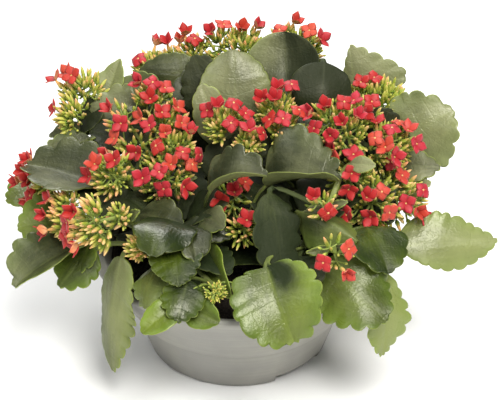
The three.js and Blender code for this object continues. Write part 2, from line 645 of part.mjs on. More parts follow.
// The bowl: a cone that breaks outwards at a soft crease, with a broad lip that slopes inwards
function potSolid() {
  const innerCrease = pot.creaseRadius - pot.wall;
  const innerRim = pot.rimRadius - pot.lipWidth;
  const shell = turned([
    [0, 0], [pot.footRadius, 0], [pot.footRadius + 2, 1.5],
    [pot.creaseRadius, pot.creaseHeight], [pot.rimRadius - 1.5, pot.rimHeight - 6],
    [pot.rimRadius, pot.rimHeight - 2.5], [pot.rimRadius - 2.5, pot.rimHeight],
    [innerRim + 2, pot.rimHeight - pot.lipDrop + 1], [innerRim, pot.rimHeight - pot.lipDrop - 2],
    [innerCrease, pot.creaseHeight], [pot.footRadius - pot.wall, pot.floor], [0, pot.floor],
  ]);
  const notches = [pot.notchAt, pot.notchAt + 180].map((turn) => footNotch(turn));
  return notches.reduce((solid, notch) => solid.subtract(notch), shell);
}

// A wedge that opens the foot of the pot for drainage
function footNotch(turn) {
  const half = THREE.MathUtils.degToRad(pot.notchSpan / 2);
  const inner = pot.footRadius - pot.notchDepth;
  const outer = pot.footRadius + 14;
  const outline = new THREE.Shape();
  outline.absarc(0, 0, outer, -half, half, false);
  outline.absarc(0, 0, inner, half, -half, true);
  const options = { depth: 2 * pot.notchHeight, bevelEnabled: false, curveSegments: 4 };
  const geometry = new THREE.ExtrudeGeometry(outline, options);
  geometry.translate(0, 0, -pot.notchHeight);
  geometry.rotateZ(THREE.MathUtils.degToRad(turn));
  return toSolid(geometry);
}

// The soil fills the bowl up to a low mound, with a plain hole for each stem
function soilSolid() {
  const slope = (pot.rimRadius - pot.creaseRadius) / (pot.rimHeight - pot.creaseHeight);
  const inner = (height) => pot.creaseRadius - pot.wall + slope * (height - pot.creaseHeight) - 2 * gap - 1;
  const body = turned([
    [0, pot.floor + gap], [pot.footRadius - pot.wall - 2 * gap, pot.floor + gap],
    [inner(pot.creaseHeight) - 0.5, pot.creaseHeight], [inner(soil.top) - 4, soil.top],
    [0, soil.top + soil.mound],
  ]);
  return Object.keys(roots).reduce((solid, name) => {
    const { trunk } = plantCurves(name);
    const bottom = trunk.getPoint(0).sub(trunk.getTangent(0).multiplyScalar(gap));
    const hole = new THREE.LineCurve3(bottom, trunk.getPoint(1));
    return solid.subtract(rod(hole, stem.radius + gap / Math.cos(Math.PI / stem.sides), stem.sides, 1));
  }, body);
}

const looks = {
  pot: { color: 0x9a9a96, roughness: 0.45, metalness: 0 },
  soil: { color: 0x241c14, roughness: 1, metalness: 0 },
  leaf: { color: 0x4c6433, roughness: 0.4, metalness: 0 },
  petal: { color: 0xd8322e, roughness: 0.55, metalness: 0 },
  bud: { color: 0xb7bb4a, roughness: 0.6, metalness: 0 },
};

const bowl = new THREE.Group();
bowl.add(toMesh('pot', potSolid(), looks.pot));
bowl.add(toMesh('soil', soilSolid(), looks.soil));

const foliage = new THREE.Group();
const extras = tierLeaves();
for (const name of Object.keys(roots)) {
  foliage.add(toMesh(`plant_${name}`, plantSolid(name, extras[name]), looks.leaf));
}

const flowers = new THREE.Group();
const random = seededStream(23);
for (const [name, head] of Object.entries(heads)) {
  const open = head.cymes.some((cyme) => cyme.blooms.length > 0);
  flowers.add(toMesh(name, headSolid(head, random), open ? looks.petal : looks.bud));
}

const kalanchoe = new THREE.Group();
kalanchoe.add(bowl, foliage, flowers);

export default kalanchoe;
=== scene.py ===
# A flowering kalanchoe in a grey planting bowl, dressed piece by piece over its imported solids.
import random
from math import cos, exp, hypot, pi, radians, sin, sqrt
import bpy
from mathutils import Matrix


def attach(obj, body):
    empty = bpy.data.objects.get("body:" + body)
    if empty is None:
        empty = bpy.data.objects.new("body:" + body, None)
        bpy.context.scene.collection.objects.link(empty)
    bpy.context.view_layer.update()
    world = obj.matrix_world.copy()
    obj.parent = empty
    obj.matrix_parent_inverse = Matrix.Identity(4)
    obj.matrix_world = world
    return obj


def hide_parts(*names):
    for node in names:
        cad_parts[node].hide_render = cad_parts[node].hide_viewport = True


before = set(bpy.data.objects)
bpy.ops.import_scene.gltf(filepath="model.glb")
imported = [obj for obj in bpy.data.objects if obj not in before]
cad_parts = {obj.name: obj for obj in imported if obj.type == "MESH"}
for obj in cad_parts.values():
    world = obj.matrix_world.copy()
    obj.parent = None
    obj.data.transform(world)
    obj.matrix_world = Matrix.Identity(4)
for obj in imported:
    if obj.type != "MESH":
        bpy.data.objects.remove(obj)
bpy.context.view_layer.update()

from types import SimpleNamespace

import bmesh
import bpy
import numpy as np
from mathutils import Vector
from numpy.linalg import norm

mm = 0.001  # the lists of leaves and heads are in millimetres
fullTurn = 6.28
goldenAngle = 2.39996
print("frame loaded:", len(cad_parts), "nodes")


def pick(sockets, key):  # by place, by identifier or by name
    return {socket.identifier: socket for socket in sockets}.get(key) or sockets[key]


class Wire:  # an output socket that node maths can be written with
    def __init__(self, graph, socket):
        self.graph, self.socket = graph, socket

    def maths(self, operation, *values):
        return self.graph.node("ShaderNodeMath", dict(enumerate(values)), operation=operation)

    def out(self, name):
        return Wire(self.graph, pick(self.socket.node.outputs, name))

    def step(self, low, high):  # 0 below low and 1 above high, smooth between
        values = {"Value": self, "From Min": low, "From Max": high}
        return self.graph.node("ShaderNodeMapRange", values, interpolation_type="SMOOTHSTEP", clamp=True)

    def noise(self, scale, detail=3):
        values = {"Vector": self, "Scale": scale, "Detail": detail, "Roughness": 0.6}
        return self.graph.node("ShaderNodeTexNoise", values)

    def blend(self, first, second):  # two colours, by this share
        first, second = [value if isinstance(value, Wire) else (*value, 1) for value in (first, second)]
        values = {"Factor_Float": self, "A_Color": first, "B_Color": second}
        return self.graph.node("ShaderNodeMix", values, "Result_Color", data_type="RGBA")

    def bump(self, distance):
        return self.graph.node("ShaderNodeBump", {"Height": self, "Distance": distance, "Strength": 1})

    __add__ = __radd__ = lambda self, other: self.maths("ADD", self, other)
    __sub__ = lambda self, other: self.maths("SUBTRACT", self, other)
    __rsub__ = lambda self, other: self.maths("SUBTRACT", other, self)
    __mul__ = __rmul__ = lambda self, other: self.maths("MULTIPLY", self, other)
    __abs__ = lambda self: self.maths("ABSOLUTE", self)


class Graph:  # a node tree, for materials and for Geometry Nodes alike
    def __init__(self, tree):
        self.tree = tree

    def feed(self, socket, value):
        if isinstance(value, Wire):
            self.tree.links.new(value.socket, socket)
        else:
            socket.default_value = value

    def node(self, kind, values=None, output=0, **settings):
        made = self.tree.nodes.new(kind)
        for name, value in settings.items():
            setattr(made, name, value)
        for key, value in (values or {}).items():
            self.feed(pick(made.inputs, key), value)
        return Wire(self, pick(made.outputs, output)) if made.outputs else made

    def split(self, vector):
        parts = self.node("ShaderNodeSeparateXYZ", {0: vector})
        return parts, parts.out("Y"), parts.out("Z")

    def stored(self, name):  # a vector that the mesh holds at each point
        return self.split(self.node("ShaderNodeAttribute", None, "Vector", attribute_name=name))

    def named(self, name, kind="FLOAT"):
        return self.node("GeometryNodeInputNamedAttribute", {"Name": name}, data_type=kind)

    def chance(self, low, high, seed):
        values = {"Min": low, "Max": high, "Seed": seed}
        return self.node("FunctionNodeRandomValue", values, data_type="FLOAT_VECTOR")

    def spin(self, most, seed):  # random turns up to most about each axis
        return self.node("FunctionNodeEulerToRotation", {0: self.chance((0, 0, 0), most, seed)})


def newMaterial(name, look):  # look says what each socket of the shader holds or is fed with
    material = bpy.data.materials.new(name)
    material.use_nodes = True
    graph = Graph(material.node_tree)
    sockets = material.node_tree.nodes["Principled BSDF"].inputs
    for socket, value in look(graph, graph.node("ShaderNodeTexCoord", None, "Object")).items():
        graph.feed(sockets[socket], value)
    return material


def point(values):
    return np.array(values, float)


def up(height):
    return point((0, 0, height))


def unit(vector):
    return vector / norm(vector)


def squareTo(direction, axis):
    return unit(direction - axis * np.dot(direction, axis))


def compass(turn):  # the ways outward and sideways at a bearing
    return point((cos(turn), sin(turn), 0)), point((-sin(turn), cos(turn), 0))


def raised(out, rise):
    return out * cos(rise) + up(sin(rise))


def onRing(radius, turn, height):
    return radius * cos(turn), radius * sin(turn), height


def smooth(value, low, high):
    share = np.clip((value - low) / (high - low), 0, 1)
    return share * share * (3 - 2 * share)


def bezier(a, b, c, d, count):
    t = np.linspace(0, 1, count)[:, None]
    return a * (1 - t) ** 3 + 3 * b * t * (1 - t) ** 2 + 3 * c * t * t * (1 - t) + d * t ** 3


# the places of the plants, the leaves and the heads, as the solids have them

soilTop = 80
soilMound = 4
holeDepth = 22
roots = {"front_left": (-42, -34), "front_right": (42, -34), "back_left": (-40, 40), "back_right": (44, 40)}


def pair(value):  # for the left half (1) and the right half (-1) of a leaf
    left, right = value if isinstance(value, tuple) else (value, value)
    return {1: left, -1: right}


def leaf(at, tip, face, wide, arch, cup, tone, lobe=9.5, edge=1, wave=1.7, blunt=0.6, shoulder=0.85,
         halves=1, shift=0, paintedPocketShade=0.12, greenVsGreySheen=None):
    return SimpleNamespace(at=point(at), tip=point(tip), face=point(face), wide=wide, arch=arch, tone=tone,
                           lobe=lobe, wave=wave, blunt=blunt, shift=shift, greenVsGreySheen=greenVsGreySheen, cup=pair(cup),
                           edge=pair(edge), shoulder=pair(shoulder), halves=pair(halves), paintedPocketShade=pair(paintedPocketShade))


# each leaf: the foot of its blade, its tip, where its upper side looks, its width, arch and cup, and its
# tone from dark to light, which carries painted light and shade besides the leaf's own colour: lighter for
# sheen on lit leaves, near-black where the plant lies in shade; a pair of values is for the left and the
# right half
leaves = {}
leaves["back_left"] = [
    leaf((-26, 73, 197), (-78, 88, 191), (0, -1, 0.5), 32, 4, -10, 0.2, edge=0.5),
    leaf((-35, 45, 160), (-29, 75, 206), (0.2, -1, 0.4), 44, 3, -8, 0.05),
    leaf((-57, 55, 176), (-99, 80, 182), (0, -1, 0.6), 42, 4, -6, 0.3, lobe=12, edge=0.7, wave=2.5),
    leaf((-76, 46, 177), (-114, 54, 178), (0, -0.8, 0.8), 44, 4, -8, 0.38, lobe=12, edge=1.2, wave=3),
    leaf((-104, 74, 173), (-93, 95, 199), (-0.5, -1, 0.2), 24, 0, 20, 0.45, edge=0.3, blunt=0.95),
    leaf((-83, 32, 157), (-114, 37, 166), (0, -0.8, 0.7), 34, 4, -10, 0.1),
    leaf((-118, 51, 160), (-149, 57, 150), (0, -0.6, 1), 15, 3, -6, 0.3),
    leaf((-113, 31, 162), (-148, 16, 161), (-0.1, -0.3, 1), 27, -3, 20, 0.35),
]
leaves["front_left"] = [
    leaf((-104, -20, 151), (-159, 2, 156), (0.1, -0.2, 1), 66, 3, 24, 0.24, lobe=15, edge=1.6, wave=3),
    leaf((-81, -28, 136), (-121, -18, 149), (0, -0.2, 1), 46, 4, 4, 0),
    leaf((-146, 41, 115), (-181, 21, 111), (-0.2, -0.4, 1), 40, 3, -6, 0.5),
    leaf((-126, -12, 114), (-166, -25, 117), (0, -0.6, 0.8), 50, 4, 4, 0.42, greenVsGreySheen=0.8),
    leaf((-119, -51, 116), (-164, -71, 94), (0, -0.1, 1), 60, 4, (30, 24), 0.3, lobe=12, edge=1.2, wave=3,
         halves=(0.5, 1), greenVsGreySheen=0.3),
    leaf((-106, -48, 112), (-132, -66, 91), (0, -0.6, 0.9), 34, 3, -8, 0.35, edge=1.4, greenVsGreySheen=1),
    leaf((-110, -45, 114), (-117, -62, 101), (-0.5, -0.8, 0.5), 22, 2, 0, 0.3),
    leaf((-84, -70, 120), (-93, -88, 29), (-0.7, -0.8, 0.1), 36, 5, -12, 0.42, lobe=9, edge=(1.7, 0.3),
         wave=3.5, shoulder=0.68, shift=0.1, greenVsGreySheen=0.3),
    leaf((-57, -80, 120), (-65, -110, 103), (-0.6, -0.6, 0.6), 34, 3, -14, 0.3),
    leaf((-46, -50, 138), (-60, -100, 142), (0, -0.3, 1), 46, 9, -8, 0.1, lobe=12, edge=0.7, wave=3,
         blunt=0.5, greenVsGreySheen=0.8),
    leaf((-46, -70, 134), (-41, -112, 124), (0, -0.3, 1), 38, 4, 0, 0.16, lobe=6.5, edge=1.4, greenVsGreySheen=1),
    leaf((-38, -60, 141), (-29, -95, 133), (0.3, -0.3, 1), 30, 4, 6, 0.2),
    leaf((-35, -100, 121), (-42, -127, 103), (0, -1, 0.6), 32, 3, -8, 0.24, lobe=7.5, edge=1.4, greenVsGreySheen=1),
    leaf((-42, -112, 107), (-67, -130, 96), (-0.2, -0.7, 0.8), 24, 3, 12, 0.42, edge=0.3),
    leaf((-36, -108, 104), (-12, -121, 99), (0, -0.9, 0.6), 24, 2, 6, 0.38, edge=0.3),
    leaf((-22, -50, 118), (-4, -106, 110), (-0.9, -0.3, 0.5), 26, 3, 8, 0.42, edge=0.15),
    leaf((-42, -50, 133), (-4, -60, 131), (0, -0.5, 1), 22, 4, 0, 0.1),
    leaf((-72, -36, 135), (-39, -61, 143), (0, -0.6, 0.8), 32, 4, 4, 0.15),
    leaf((-24, -45, 142), (-9, -66, 143), (0, -0.8, 0.7), 22, 2, 0, 0.3),
    leaf((-19, -45, 162), (22, -60, 184), (-0.2, -0.3, 1), 50, 7, (30, 62), 0.18, lobe=13, edge=(1.1, 0.2),
         wave=2.5, halves=(1, 0.45)),
    leaf((-17, -4, 144), (-1, 14, 172), (0, -1, 0.6), 36, 3, 4, 0),
]
leaves["front_right"] = [
    leaf((22, -30, 157), (75, -45, 171), (0, -0.2, 1), 78, 6, (38, 64), 0.3, lobe=13, edge=(1.2, 0.2),
         wave=3, halves=(1, 0.5), paintedPocketShade=0.3),
    leaf((24, -45, 160), (33, -94, 110), (0.4, -0.9, 0.6), 36, 5, -6, 0, lobe=15, edge=(1.6, 1.2), wave=3,
         greenVsGreySheen=0.6),
    leaf((44, -50, 147), (87, -80, 141), (0, -0.5, 0.9), 54, 7, -48, 0.36, lobe=13, wave=3, greenVsGreySheen=0.6),
    leaf((95, -60, 139), (109, -95, 123), (0.3, -0.6, 0.8), 48, 4, 6, 0.18, lobe=12, wave=2.5, greenVsGreySheen=1),
    leaf((120, -45, 113), (196, -35, 112), (0, -0.7, 0.7), 50, 2, -12, 0.66, lobe=9, edge=(1.3, 0.9), wave=3,
         blunt=0.72, shoulder=(0.7, 1), halves=(1, 0.82), greenVsGreySheen=0.35),
    leaf((61, -80, 121), (107, -117, 97), (0.2, -0.8, 0.7), 58, 6, -6, 0.34, lobe=11, edge=1.3, wave=4,
         blunt=0.5, greenVsGreySheen=0.8),
    leaf((102, -85, 118), (107, -102, 55), (0.6, -0.8, 0.1), 38, 5, 10, 0.95, edge=1.2, wave=3, greenVsGreySheen=0.5),
    leaf((22, -95, 128), (41, -132, 90), (-0.2, -0.8, 0.7), 70, 7, (18, 26), 0.4, lobe=11, edge=1.3, wave=4,
         blunt=0.44, shift=0.05, paintedPocketShade=(0.6, 0.05), greenVsGreySheen=0.8),
    leaf((84, -34, 178), (101, -44, 183), (0, -0.8, 0.6), 13, 2, 4, 0.7, edge=0.2),
    leaf((46, -75, 123), (58, -105, 118), (0, -0.5, 0.9), 26, 3, 0, 0.05),
]
leaves["back_right"] = [
    leaf((100, 24, 150), (115, 22, 194), (0, -1, 0.2), 52, 4, 0, 0.02),
    leaf((68, -14, 122), (122, -28, 136), (0, -0.6, 0.8), 50, 4, 4, 0.03),
    leaf((-8, 48, 168), (-34, 66, 216), (0, -1, 0.3), 46, 4, 0, 0.02),
    leaf((-10, 16, 165), (-27, 30, 210), (0, -1, 0.5), 30, 3, 0, 0.52, lobe=14, edge=0.5, blunt=0.5, greenVsGreySheen=0),
    leaf((0, 20, 164), (-3, 50, 229), (0, -1, 0.8), 56, 5, -10, 0.4, edge=0.4, blunt=0.5, shoulder=1.2,
         paintedPocketShade=0.25),
    leaf((40, 35, 187), (36, 75, 232), (0.1, -1, 0.5), 64, -6, (-14, 42), 0.14, edge=0.15, blunt=0.42,
         shoulder=1.25, shift=0.35, paintedPocketShade=0.05),
    leaf((66, 48, 219), (60, 24, 182), (0.1, -1, 0.3), 50, 8, -14, 0.04, edge=0.2, blunt=0.45, shoulder=0.8),
    leaf((94, 82, 170), (89, 99, 209), (-0.2, -1, 0.2), 84, 3, (-10, -6), 0.6, lobe=12, edge=1.2, blunt=0.85,
         shoulder=0.62, halves=(0.2, 1), greenVsGreySheen=0),
    leaf((121, 30, 154), (165, 37, 185), (-0.2, -0.9, 0.5), 66, 4, -5, 0.52, lobe=12, edge=1.2, wave=5,
         greenVsGreySheen=0.15),
    leaf((112, 20, 143), (155, 8, 150), (0, -0.7, 0.8), 28, 4, 0, 0.4),
    leaf((124, 18, 132), (147, -3, 141), (0, -0.7, 0.8), 20, 3, 0, 0.5),
]

# leaves by rule; each tier: first and last bearing, count, reach, height, length, rise and width
backRule = {"turn": 4, "rise": 7, "shortest": 0.9, "cup": 6, "tone": 0.35, "lobe": 9.5, "tiers": [
    (8, 172, 8, 88, 118, 66, -18, 50), (32, 150, 6, 76, 142, 60, 8, 46), (58, 122, 2, 66, 164, 50, 20, 42)]}
# the shade tiers' near-black tone is painted shade inside the plant
shadeRule = {"turn": 14, "rise": 10, "shortest": 0.85, "cup": 8, "tone": 0.02, "lobe": 10, "tiers": [
    (-30, 330, 6, 20, 99, 40, 0, 38), (0, 360, 5, 14, 108, 50, 12, 38), (36, 396, 5, 12, 126, 46, 30, 36)]}
shadeRoom = {"radius": 110, "front": -60, "height": 135}


def cyme(crest, lean, reach, blooms=(), full=1):
    axis = unit(point(lean))
    return SimpleNamespace(fork=point(crest) - axis * reach, axis=axis, reach=reach, blooms=blooms, full=full)


def head(plant, pink, ripe, cymes, full=1, big=1, tight=1, shy=0):
    return SimpleNamespace(plant=plant, pink=pink, ripe=ripe, cymes=[cyme(*row) for row in cymes],
                           full=full, big=big, tight=tight, shy=shy)


# each head: its plant, how pink its petals are, how ripe its buds are, and its cymes, with the crest, lean,
# reach, blooms and fullness of each; shy florets are half closed
heads = {}
heads["cluster_left_back"] = head("back_left", 0.1, 0.4, [
    ((-120, 64, 165), (-0.6, -0.6, 0.7), 12),
    ((-127, 60, 200), (-0.3, -0.4, 1), 24, [(-9, 12), (-2, 3), (-15, 4)]),
    ((-140, 42, 184), (-0.8, -0.4, 0.7), 20, [(-9, 5)]),
], full=1.2, shy=3)
heads["head_left_outer"] = head("front_left", 0.1, 0.5, [
    ((-163, 5, 141), (-1, -0.5, 0.3), 24, [(-7, 16), (-2, 6), (-9, -1), (-8, -9), (-7, -16), (4, 13),
     (5, 0), (3, -12), (-14, 7)]),
], full=1.2, shy=14)
heads["head_left_low"] = head("front_left", 0.1, 0.6, [
    ((-137, -48, 149), (-0.7, -0.7, 0.5), 20, [(-6, 7), (-7, -5)]),
    ((-136, -60, 138), (-0.7, -0.8, 0.2), 20, [(-12, -5)]),
], big=1.05, tight=0.93, shy=8)
heads["head_left_front"] = head("front_left", 0.1, 0.8, [
    ((-91, -64, 155), (-0.5, -0.8, 0.8), 14),
    ((-121, -80, 151), (-1, -0.5, 0), 26, [(-1, 14), (-3, 4), (-3, -7), (1, -16)]),
], full=0.75, big=1.12, shy=8)
heads["head_left_bud"] = head("front_left", 0, 0.7, [((-82, -82, 137), (-0.8, -0.7, 0.4), 18)], tight=0.8)
heads["head_front_bud"] = head("front_left", 0, 0.1, [
    ((-12, -124, 124), (0.2, -1, 0.4), 16),
], full=1.5, big=0.65, tight=0.75)
heads["head_left_inner"] = head("front_left", 0.1, 0.5, [
    ((-101, -39, 175), (-0.5, -0.8, 0.7), 22, [(-13, -2), (-4, 6), (11, 7)]),
])
heads["cluster_left"] = head("front_left", 0.3, 0.6, [
    ((-53, -35, 170), (0, -0.9, 0.8), 26, [(5, 9), (-4, 2), (-15, -2), (-1, -11), (20, 10), (13, -8)]),
    ((-42, -15, 185), (0.3, -0.8, 1), 24, [(-11, 11), (-17, -1), (7, 8), (3, -6), (17, -5)]),
    ((-87, -5, 179), (-0.6, -0.7, 0.9), 24, [(11, -8), (-7, 6), (-11, -6)], 0.6),
    ((-58, 10, 196), (-0.1, -0.7, 1), 24, [(-17, 1), (-8, -8), (2, 0), (14, 10), (16, -5)]),
    ((-94, 15, 195), (-0.6, -0.6, 0.9), 22, [(-4, 3), (6, -10)], 0.25),
    ((-64, 30, 205), (0, -0.6, 1), 22, [(-2, -6), (-10, 9), (0, 6), (10, 6)]),
], shy=1)
heads["cluster_back"] = head("back_left", 0.1, 0.5, [
    ((-35, 104, 212), (0, -0.4, 1), 20, [(-8, 11), (1, 0)]),
    ((-54, 106, 204), (0, -0.2, 1), 20, [(-3, 10), (7, 10)]),
    ((-74, 106, 200), (-0.3, -0.2, 1), 20, [(-8, -3), (7, 9)]),
    ((-14, 105, 221), (-0.1, -0.3, 1), 24, [(3, 8), (-7, -3)]),
    ((8, 100, 221), (0.2, -0.3, 1), 24, [(-5, 5), (7, 6)]),
], full=1.35, shy=4)
heads["head_back_right"] = head("back_right", 0.1, 0.5, [
    ((36, 100, 223), (-0.2, -0.3, 1), 22, [(-4, 2), (8, 7)]),
    ((58, 95, 222), (0.3, -0.3, 1), 22, [(-1, 5), (8, -4)]),
])
heads["cluster_centre"] = head("back_right", 0.2, 0.5, [
    ((29, 10, 212), (0, -0.5, 1), 24, [(-11, -1), (-1, -4), (11, 12), (1, 8)]),
    ((34, -10, 203), (0, -0.7, 1), 22, [(-11, 2), (0, 0), (11, 8)]),
    ((12, -16, 196), (0.2, -0.7, 1), 20, [(-3, 2), (8, 0)]),
    ((-11, -5, 206), (-0.1, -0.6, 1), 24, [(-13, 6), (-3, 4), (8, 7), (7, -8), (17, 2)]),
], full=1.1, tight=0.84)
heads["cluster_right"] = head("front_right", 0.45, 0.4, [
    ((100, -50, 156), (0, -0.9, 0.6), 28, [(7, 8), (-5, 3), (-18, -9), (-2, -12), (12, -8)]),
    ((133, -30, 145), (0.6, -0.9, 0.5), 26, [(-7, -3), (9, 7), (13, -14), (6, -10)]),
    ((79, -35, 174), (-0.3, -0.9, 0.8), 26, [(-9, 6), (6, 12), (5, -3), (-12, 17), (2, -14)]),
    ((120, -20, 163), (0.4, -0.9, 0.8), 22, [(5, -2), (-4, 8)]),
    ((108, -15, 191), (0.1, -0.8, 1), 26, [(-4, 14), (7, 8), (-6, -2), (2, -8), (9, -14)]),
    ((127, 0, 186), (0.6, -0.6, 0.9), 24, [(-3, 12), (1, 2), (8, -7)]),
    ((79, -15, 201), (-0.2, -0.8, 1), 24, [(-2, 2), (9, 6), (-10, -7)]),
    ((65, -5, 207), (-0.4, -0.6, 1), 24, [(-1, 5), (-12, 2), (13, 6), (-12, -10)]),
    ((93, 10, 203), (0, -0.5, 1), 22, [(-6, 9), (8, 5), (2, -7)]),
])
heads["head_right_top"] = head("back_right", 0.1, 0.2, [
    ((99, 53, 196), (-0.1, -0.4, 1), 24, [(-4, 9), (7, 13)]),
    ((121, 54, 198), (0.4, -0.3, 1), 24),
], full=1.5)
heads["head_front_middle"] = head("front_left", 0.2, 0.3, [
    ((-7, -35, 153), (-0.2, -0.9, 0.8), 22, [(13, 12), (-5, -5), (5, 1)]),
], full=0.5)
heads["head_right_inner"] = head("front_right", 0.1, 0.6, [
    ((59, -74, 171), (-0.3, -0.9, 0.8), 16, [(-5, 4), (6, -8)]),
], full=0.35)
heads["head_right_front"] = head("front_right", 0.3, 0.6, [
    ((70, -112, 148), (0, -1, 0.4), 20, [(-10, -5), (9, 6), (6, -9)]),
], full=0.2)
heads["head_middle_bud"] = head("front_right", 0.1, 0.6, [
    ((8, -65, 141), (0.2, -1, 0.6), 18, [(0, 8)]),
], full=0.7)
heads["head_rear_left"] = head("back_left", 0.2, 0.5, [
    ((-60, 140, 150), (-0.3, 1, 0.7), 22, [(-6, 4), (7, -3)]),
])
heads["head_rear_right"] = head("back_right", 0.2, 0.5, [
    ((46, 138, 184), (0.1, 1, 0.8), 22, [(-5, 6), (8, 0)]),
])


def newObject(name, data):
    made = bpy.data.objects.new(name, data)
    bpy.context.scene.collection.objects.link(made)
    return made


def newMesh(name, points, faces=(), material=None, edges=(), **stored):  # points in millimetres
    mesh = bpy.data.meshes.new(name)
    mesh.from_pydata((point(points) * mm).tolist(), edges, faces)
    for label, values in stored.items():  # a vector, a share or a whole number for each point
        values = np.array(values)
        kind = "FLOAT_VECTOR" if values.ndim > 1 else "INT" if values.dtype.kind == "i" else "FLOAT"
        attribute = mesh.attributes.new(label, kind, "POINT")
        attribute.data.foreach_set("vector" if values.ndim > 1 else "value", values.ravel().tolist())
    mesh.polygons.foreach_set("use_smooth", [True] * len(mesh.polygons))
    if material:
        mesh.materials.append(material)
    return mesh


def ringFaces(rows, around, first=0):  # between rings of points
    faces = []
    for row in range(rows - 1):
        for k in range(around):
            a, b = first + row * around + k, first + row * around + (k + 1) % around
            faces.append((a, b, b + around, a + around))
    return faces


def gathered(solids):  # closed solids, each of rings of points with what is stored for each
    points, faces, stored = [], [], []
    for rings in solids:
        first, around = len(points), len(rings[0])
        own, *kinds = zip(*sum(rings, []))
        own = [point(spot) for spot in own]
        if len(rings[-1]) == 1:  # it ends in a tip
            last = len(own) - 1 - around
            made = ringFaces(len(rings) - 1, around)
            made += [(last + k, last + (k + 1) % around, last + around) for k in range(around)]
        else:
            made = [tuple(range(len(own) - around, len(own)))] + ringFaces(len(rings), around)
        made = [tuple(range(around))[::-1]] + made
        volume = sum(np.dot(own[face[0]], np.cross(own[face[k]], own[face[k + 1]]))
                     for face in made for k in range(1, len(face) - 1))
        order = 1 if volume > 0 else -1  # turned round if it is inside out
        faces += [tuple(first + i for i in face[::order]) for face in made]
        points += own
        stored.append(kinds)
    return points, faces, *[sum(kind, ()) for kind in zip(*stored)]


def joined(name, parts):
    with bpy.context.temp_override(active_object=parts[0], selected_editable_objects=parts):
        bpy.ops.object.join()
    parts[0].name = name
    parts[0].data.name = name
    return parts[0]


def newTree(name, **inputs):
    tree = bpy.data.node_groups.new(name, "GeometryNodeTree")
    for label, kind in ({"Geometry": "Geometry", "Material": "Material"} | inputs).items():
        tree.interface.new_socket(label, in_out="INPUT", socket_type="NodeSocket" + kind)
    tree.interface.new_socket("Geometry", in_out="OUTPUT", socket_type="NodeSocketGeometry")
    graph = Graph(tree)
    return graph, graph.node("NodeGroupInput")


def endTree(graph, start, shapes):
    solid = graph.node("GeometryNodeRealizeInstances", {0: shapes})
    rounded = graph.node("GeometryNodeSetShadeSmooth", {"Geometry": solid})
    finished = graph.node("GeometryNodeSetMaterial", {"Geometry": rounded, "Material": start.out("Material")})
    graph.node("NodeGroupOutput", {0: finished})
    return graph.tree


def evaluated(made):
    depsgraph = bpy.context.evaluated_depsgraph_get()
    return bpy.data.meshes.new_from_object(made.evaluated_get(depsgraph))


def grown(name, mesh, tree, **values):  # runs a tree on a mesh and keeps the result as a plain mesh
    holder = newObject(name + "Base", mesh)
    modifier = holder.modifiers.new("grow", "NODES")
    modifier.node_group = tree
    for item in tree.interface.items_tree:
        if item.in_out == "INPUT" and item.name in values:
            modifier[item.identifier] = values[item.name]
    result = evaluated(holder)
    bpy.data.objects.remove(holder)
    return newObject(name, result)


# finishes

def leafLook(graph, place):
    along, across, under = graph.stored("leafPlace")
    tone, greenVsGreySheen, half = graph.stored("leafKind")  # half is the width at this point, in millimetres
    blotch = place.noise(55)
    grain = place.noise(520, 1).step(0.4, 0.75)
    lengthwise = graph.node("ShaderNodeCombineXYZ", {0: along * 3, 1: across * 4, 2: tone * 9 + greenVsGreySheen * 7})
    streak = lengthwise.noise(1.6, 2).step(0.3, 0.7)  # painted sheen: pale streaks run along the leaf, which are also smoother
    cloud = place.noise(20, 1).step(0.3, 0.7)
    light = (tone * 1.15 + blotch * 0.34 + cloud * 0.26 + streak * 0.07).step(0.34, 1.24)
    # painted sheen: the grey pale colour of the upper leaves stands in for light their wax reflects; low
    # leaves keep a vivid green
    dark = greenVsGreySheen.blend((0.011, 0.016, 0.004), (0.008, 0.017, 0.002))
    upper = light.blend(dark, greenVsGreySheen.blend((0.235, 0.243, 0.118), (0.165, 0.225, 0.02)))
    veinWave = along.maths("PINGPONG", along * 6.5 + blotch * 0.35, 0.5)
    vein = (1 - veinWave.step(0, 0.08)) * (1 - abs(across).step(0.35, 0.9))
    upper = (vein * (tone * 0.07 + 0.008)).blend(upper, (0.19, 0.23, 0.075))
    rib = 1 - (abs(across) * half).step(0.3, 1)
    upper = (rib * (0.02 + tone * 0.18)).blend(upper, (0.24, 0.28, 0.095))
    # painted glow: vivid green towards the margins of lit leaves stands in for light shining through the
    # blade
    paintedGlow = abs(across).step(0.35, 1) * tone.step(0.1, 0.45) * (greenVsGreySheen * 0.3 + 0.08)
    upper = paintedGlow.blend(upper, (0.15, 0.25, 0.02))
    lower = blotch.blend((0.1, 0.12, 0.045), (0.22, 0.24, 0.09))
    body = under.step(0.4, 0.6).blend(upper, lower)
    edge = 1 - ((1 - abs(across)) * half).step(0.15, 0.8)
    body = (edge * (0.15 + 0.6 * tone.step(0.05, 0.4))).blend(body, (0.27, 0.33, 0.06))
    stem = 1 - along.step(-0.08, 0.03)
    body = (stem * 0.85).blend(body, tone.blend((0.03, 0.045, 0.012), (0.26, 0.31, 0.07)))
    deep = 1 - tone.step(0, 0.12)  # leaves in the shade are duller
    patch = place.noise(26, 1).step(0.42, 0.62)  # where the wax shines
    rough = 0.46 - patch * 0.18 - streak * 0.06 + blotch * 0.08 + under * 0.15 + deep * 0.3
    height = place.noise(42, 1) * 3 + grain * 0.2 - vein * 0.16 + streak * 0.1 + place.noise(95, 2) * 0.4
    return {"Base Color": body, "Roughness": rough, "Normal": height.bump(0.0006),
            "Coat Weight": patch * 0.2 * (1 - deep), "Coat Roughness": 0.3, "Specular IOR Level": 0.42,
            "IOR": 1.45, "Specular Tint": (1, 0.98, 0.82, 1)}


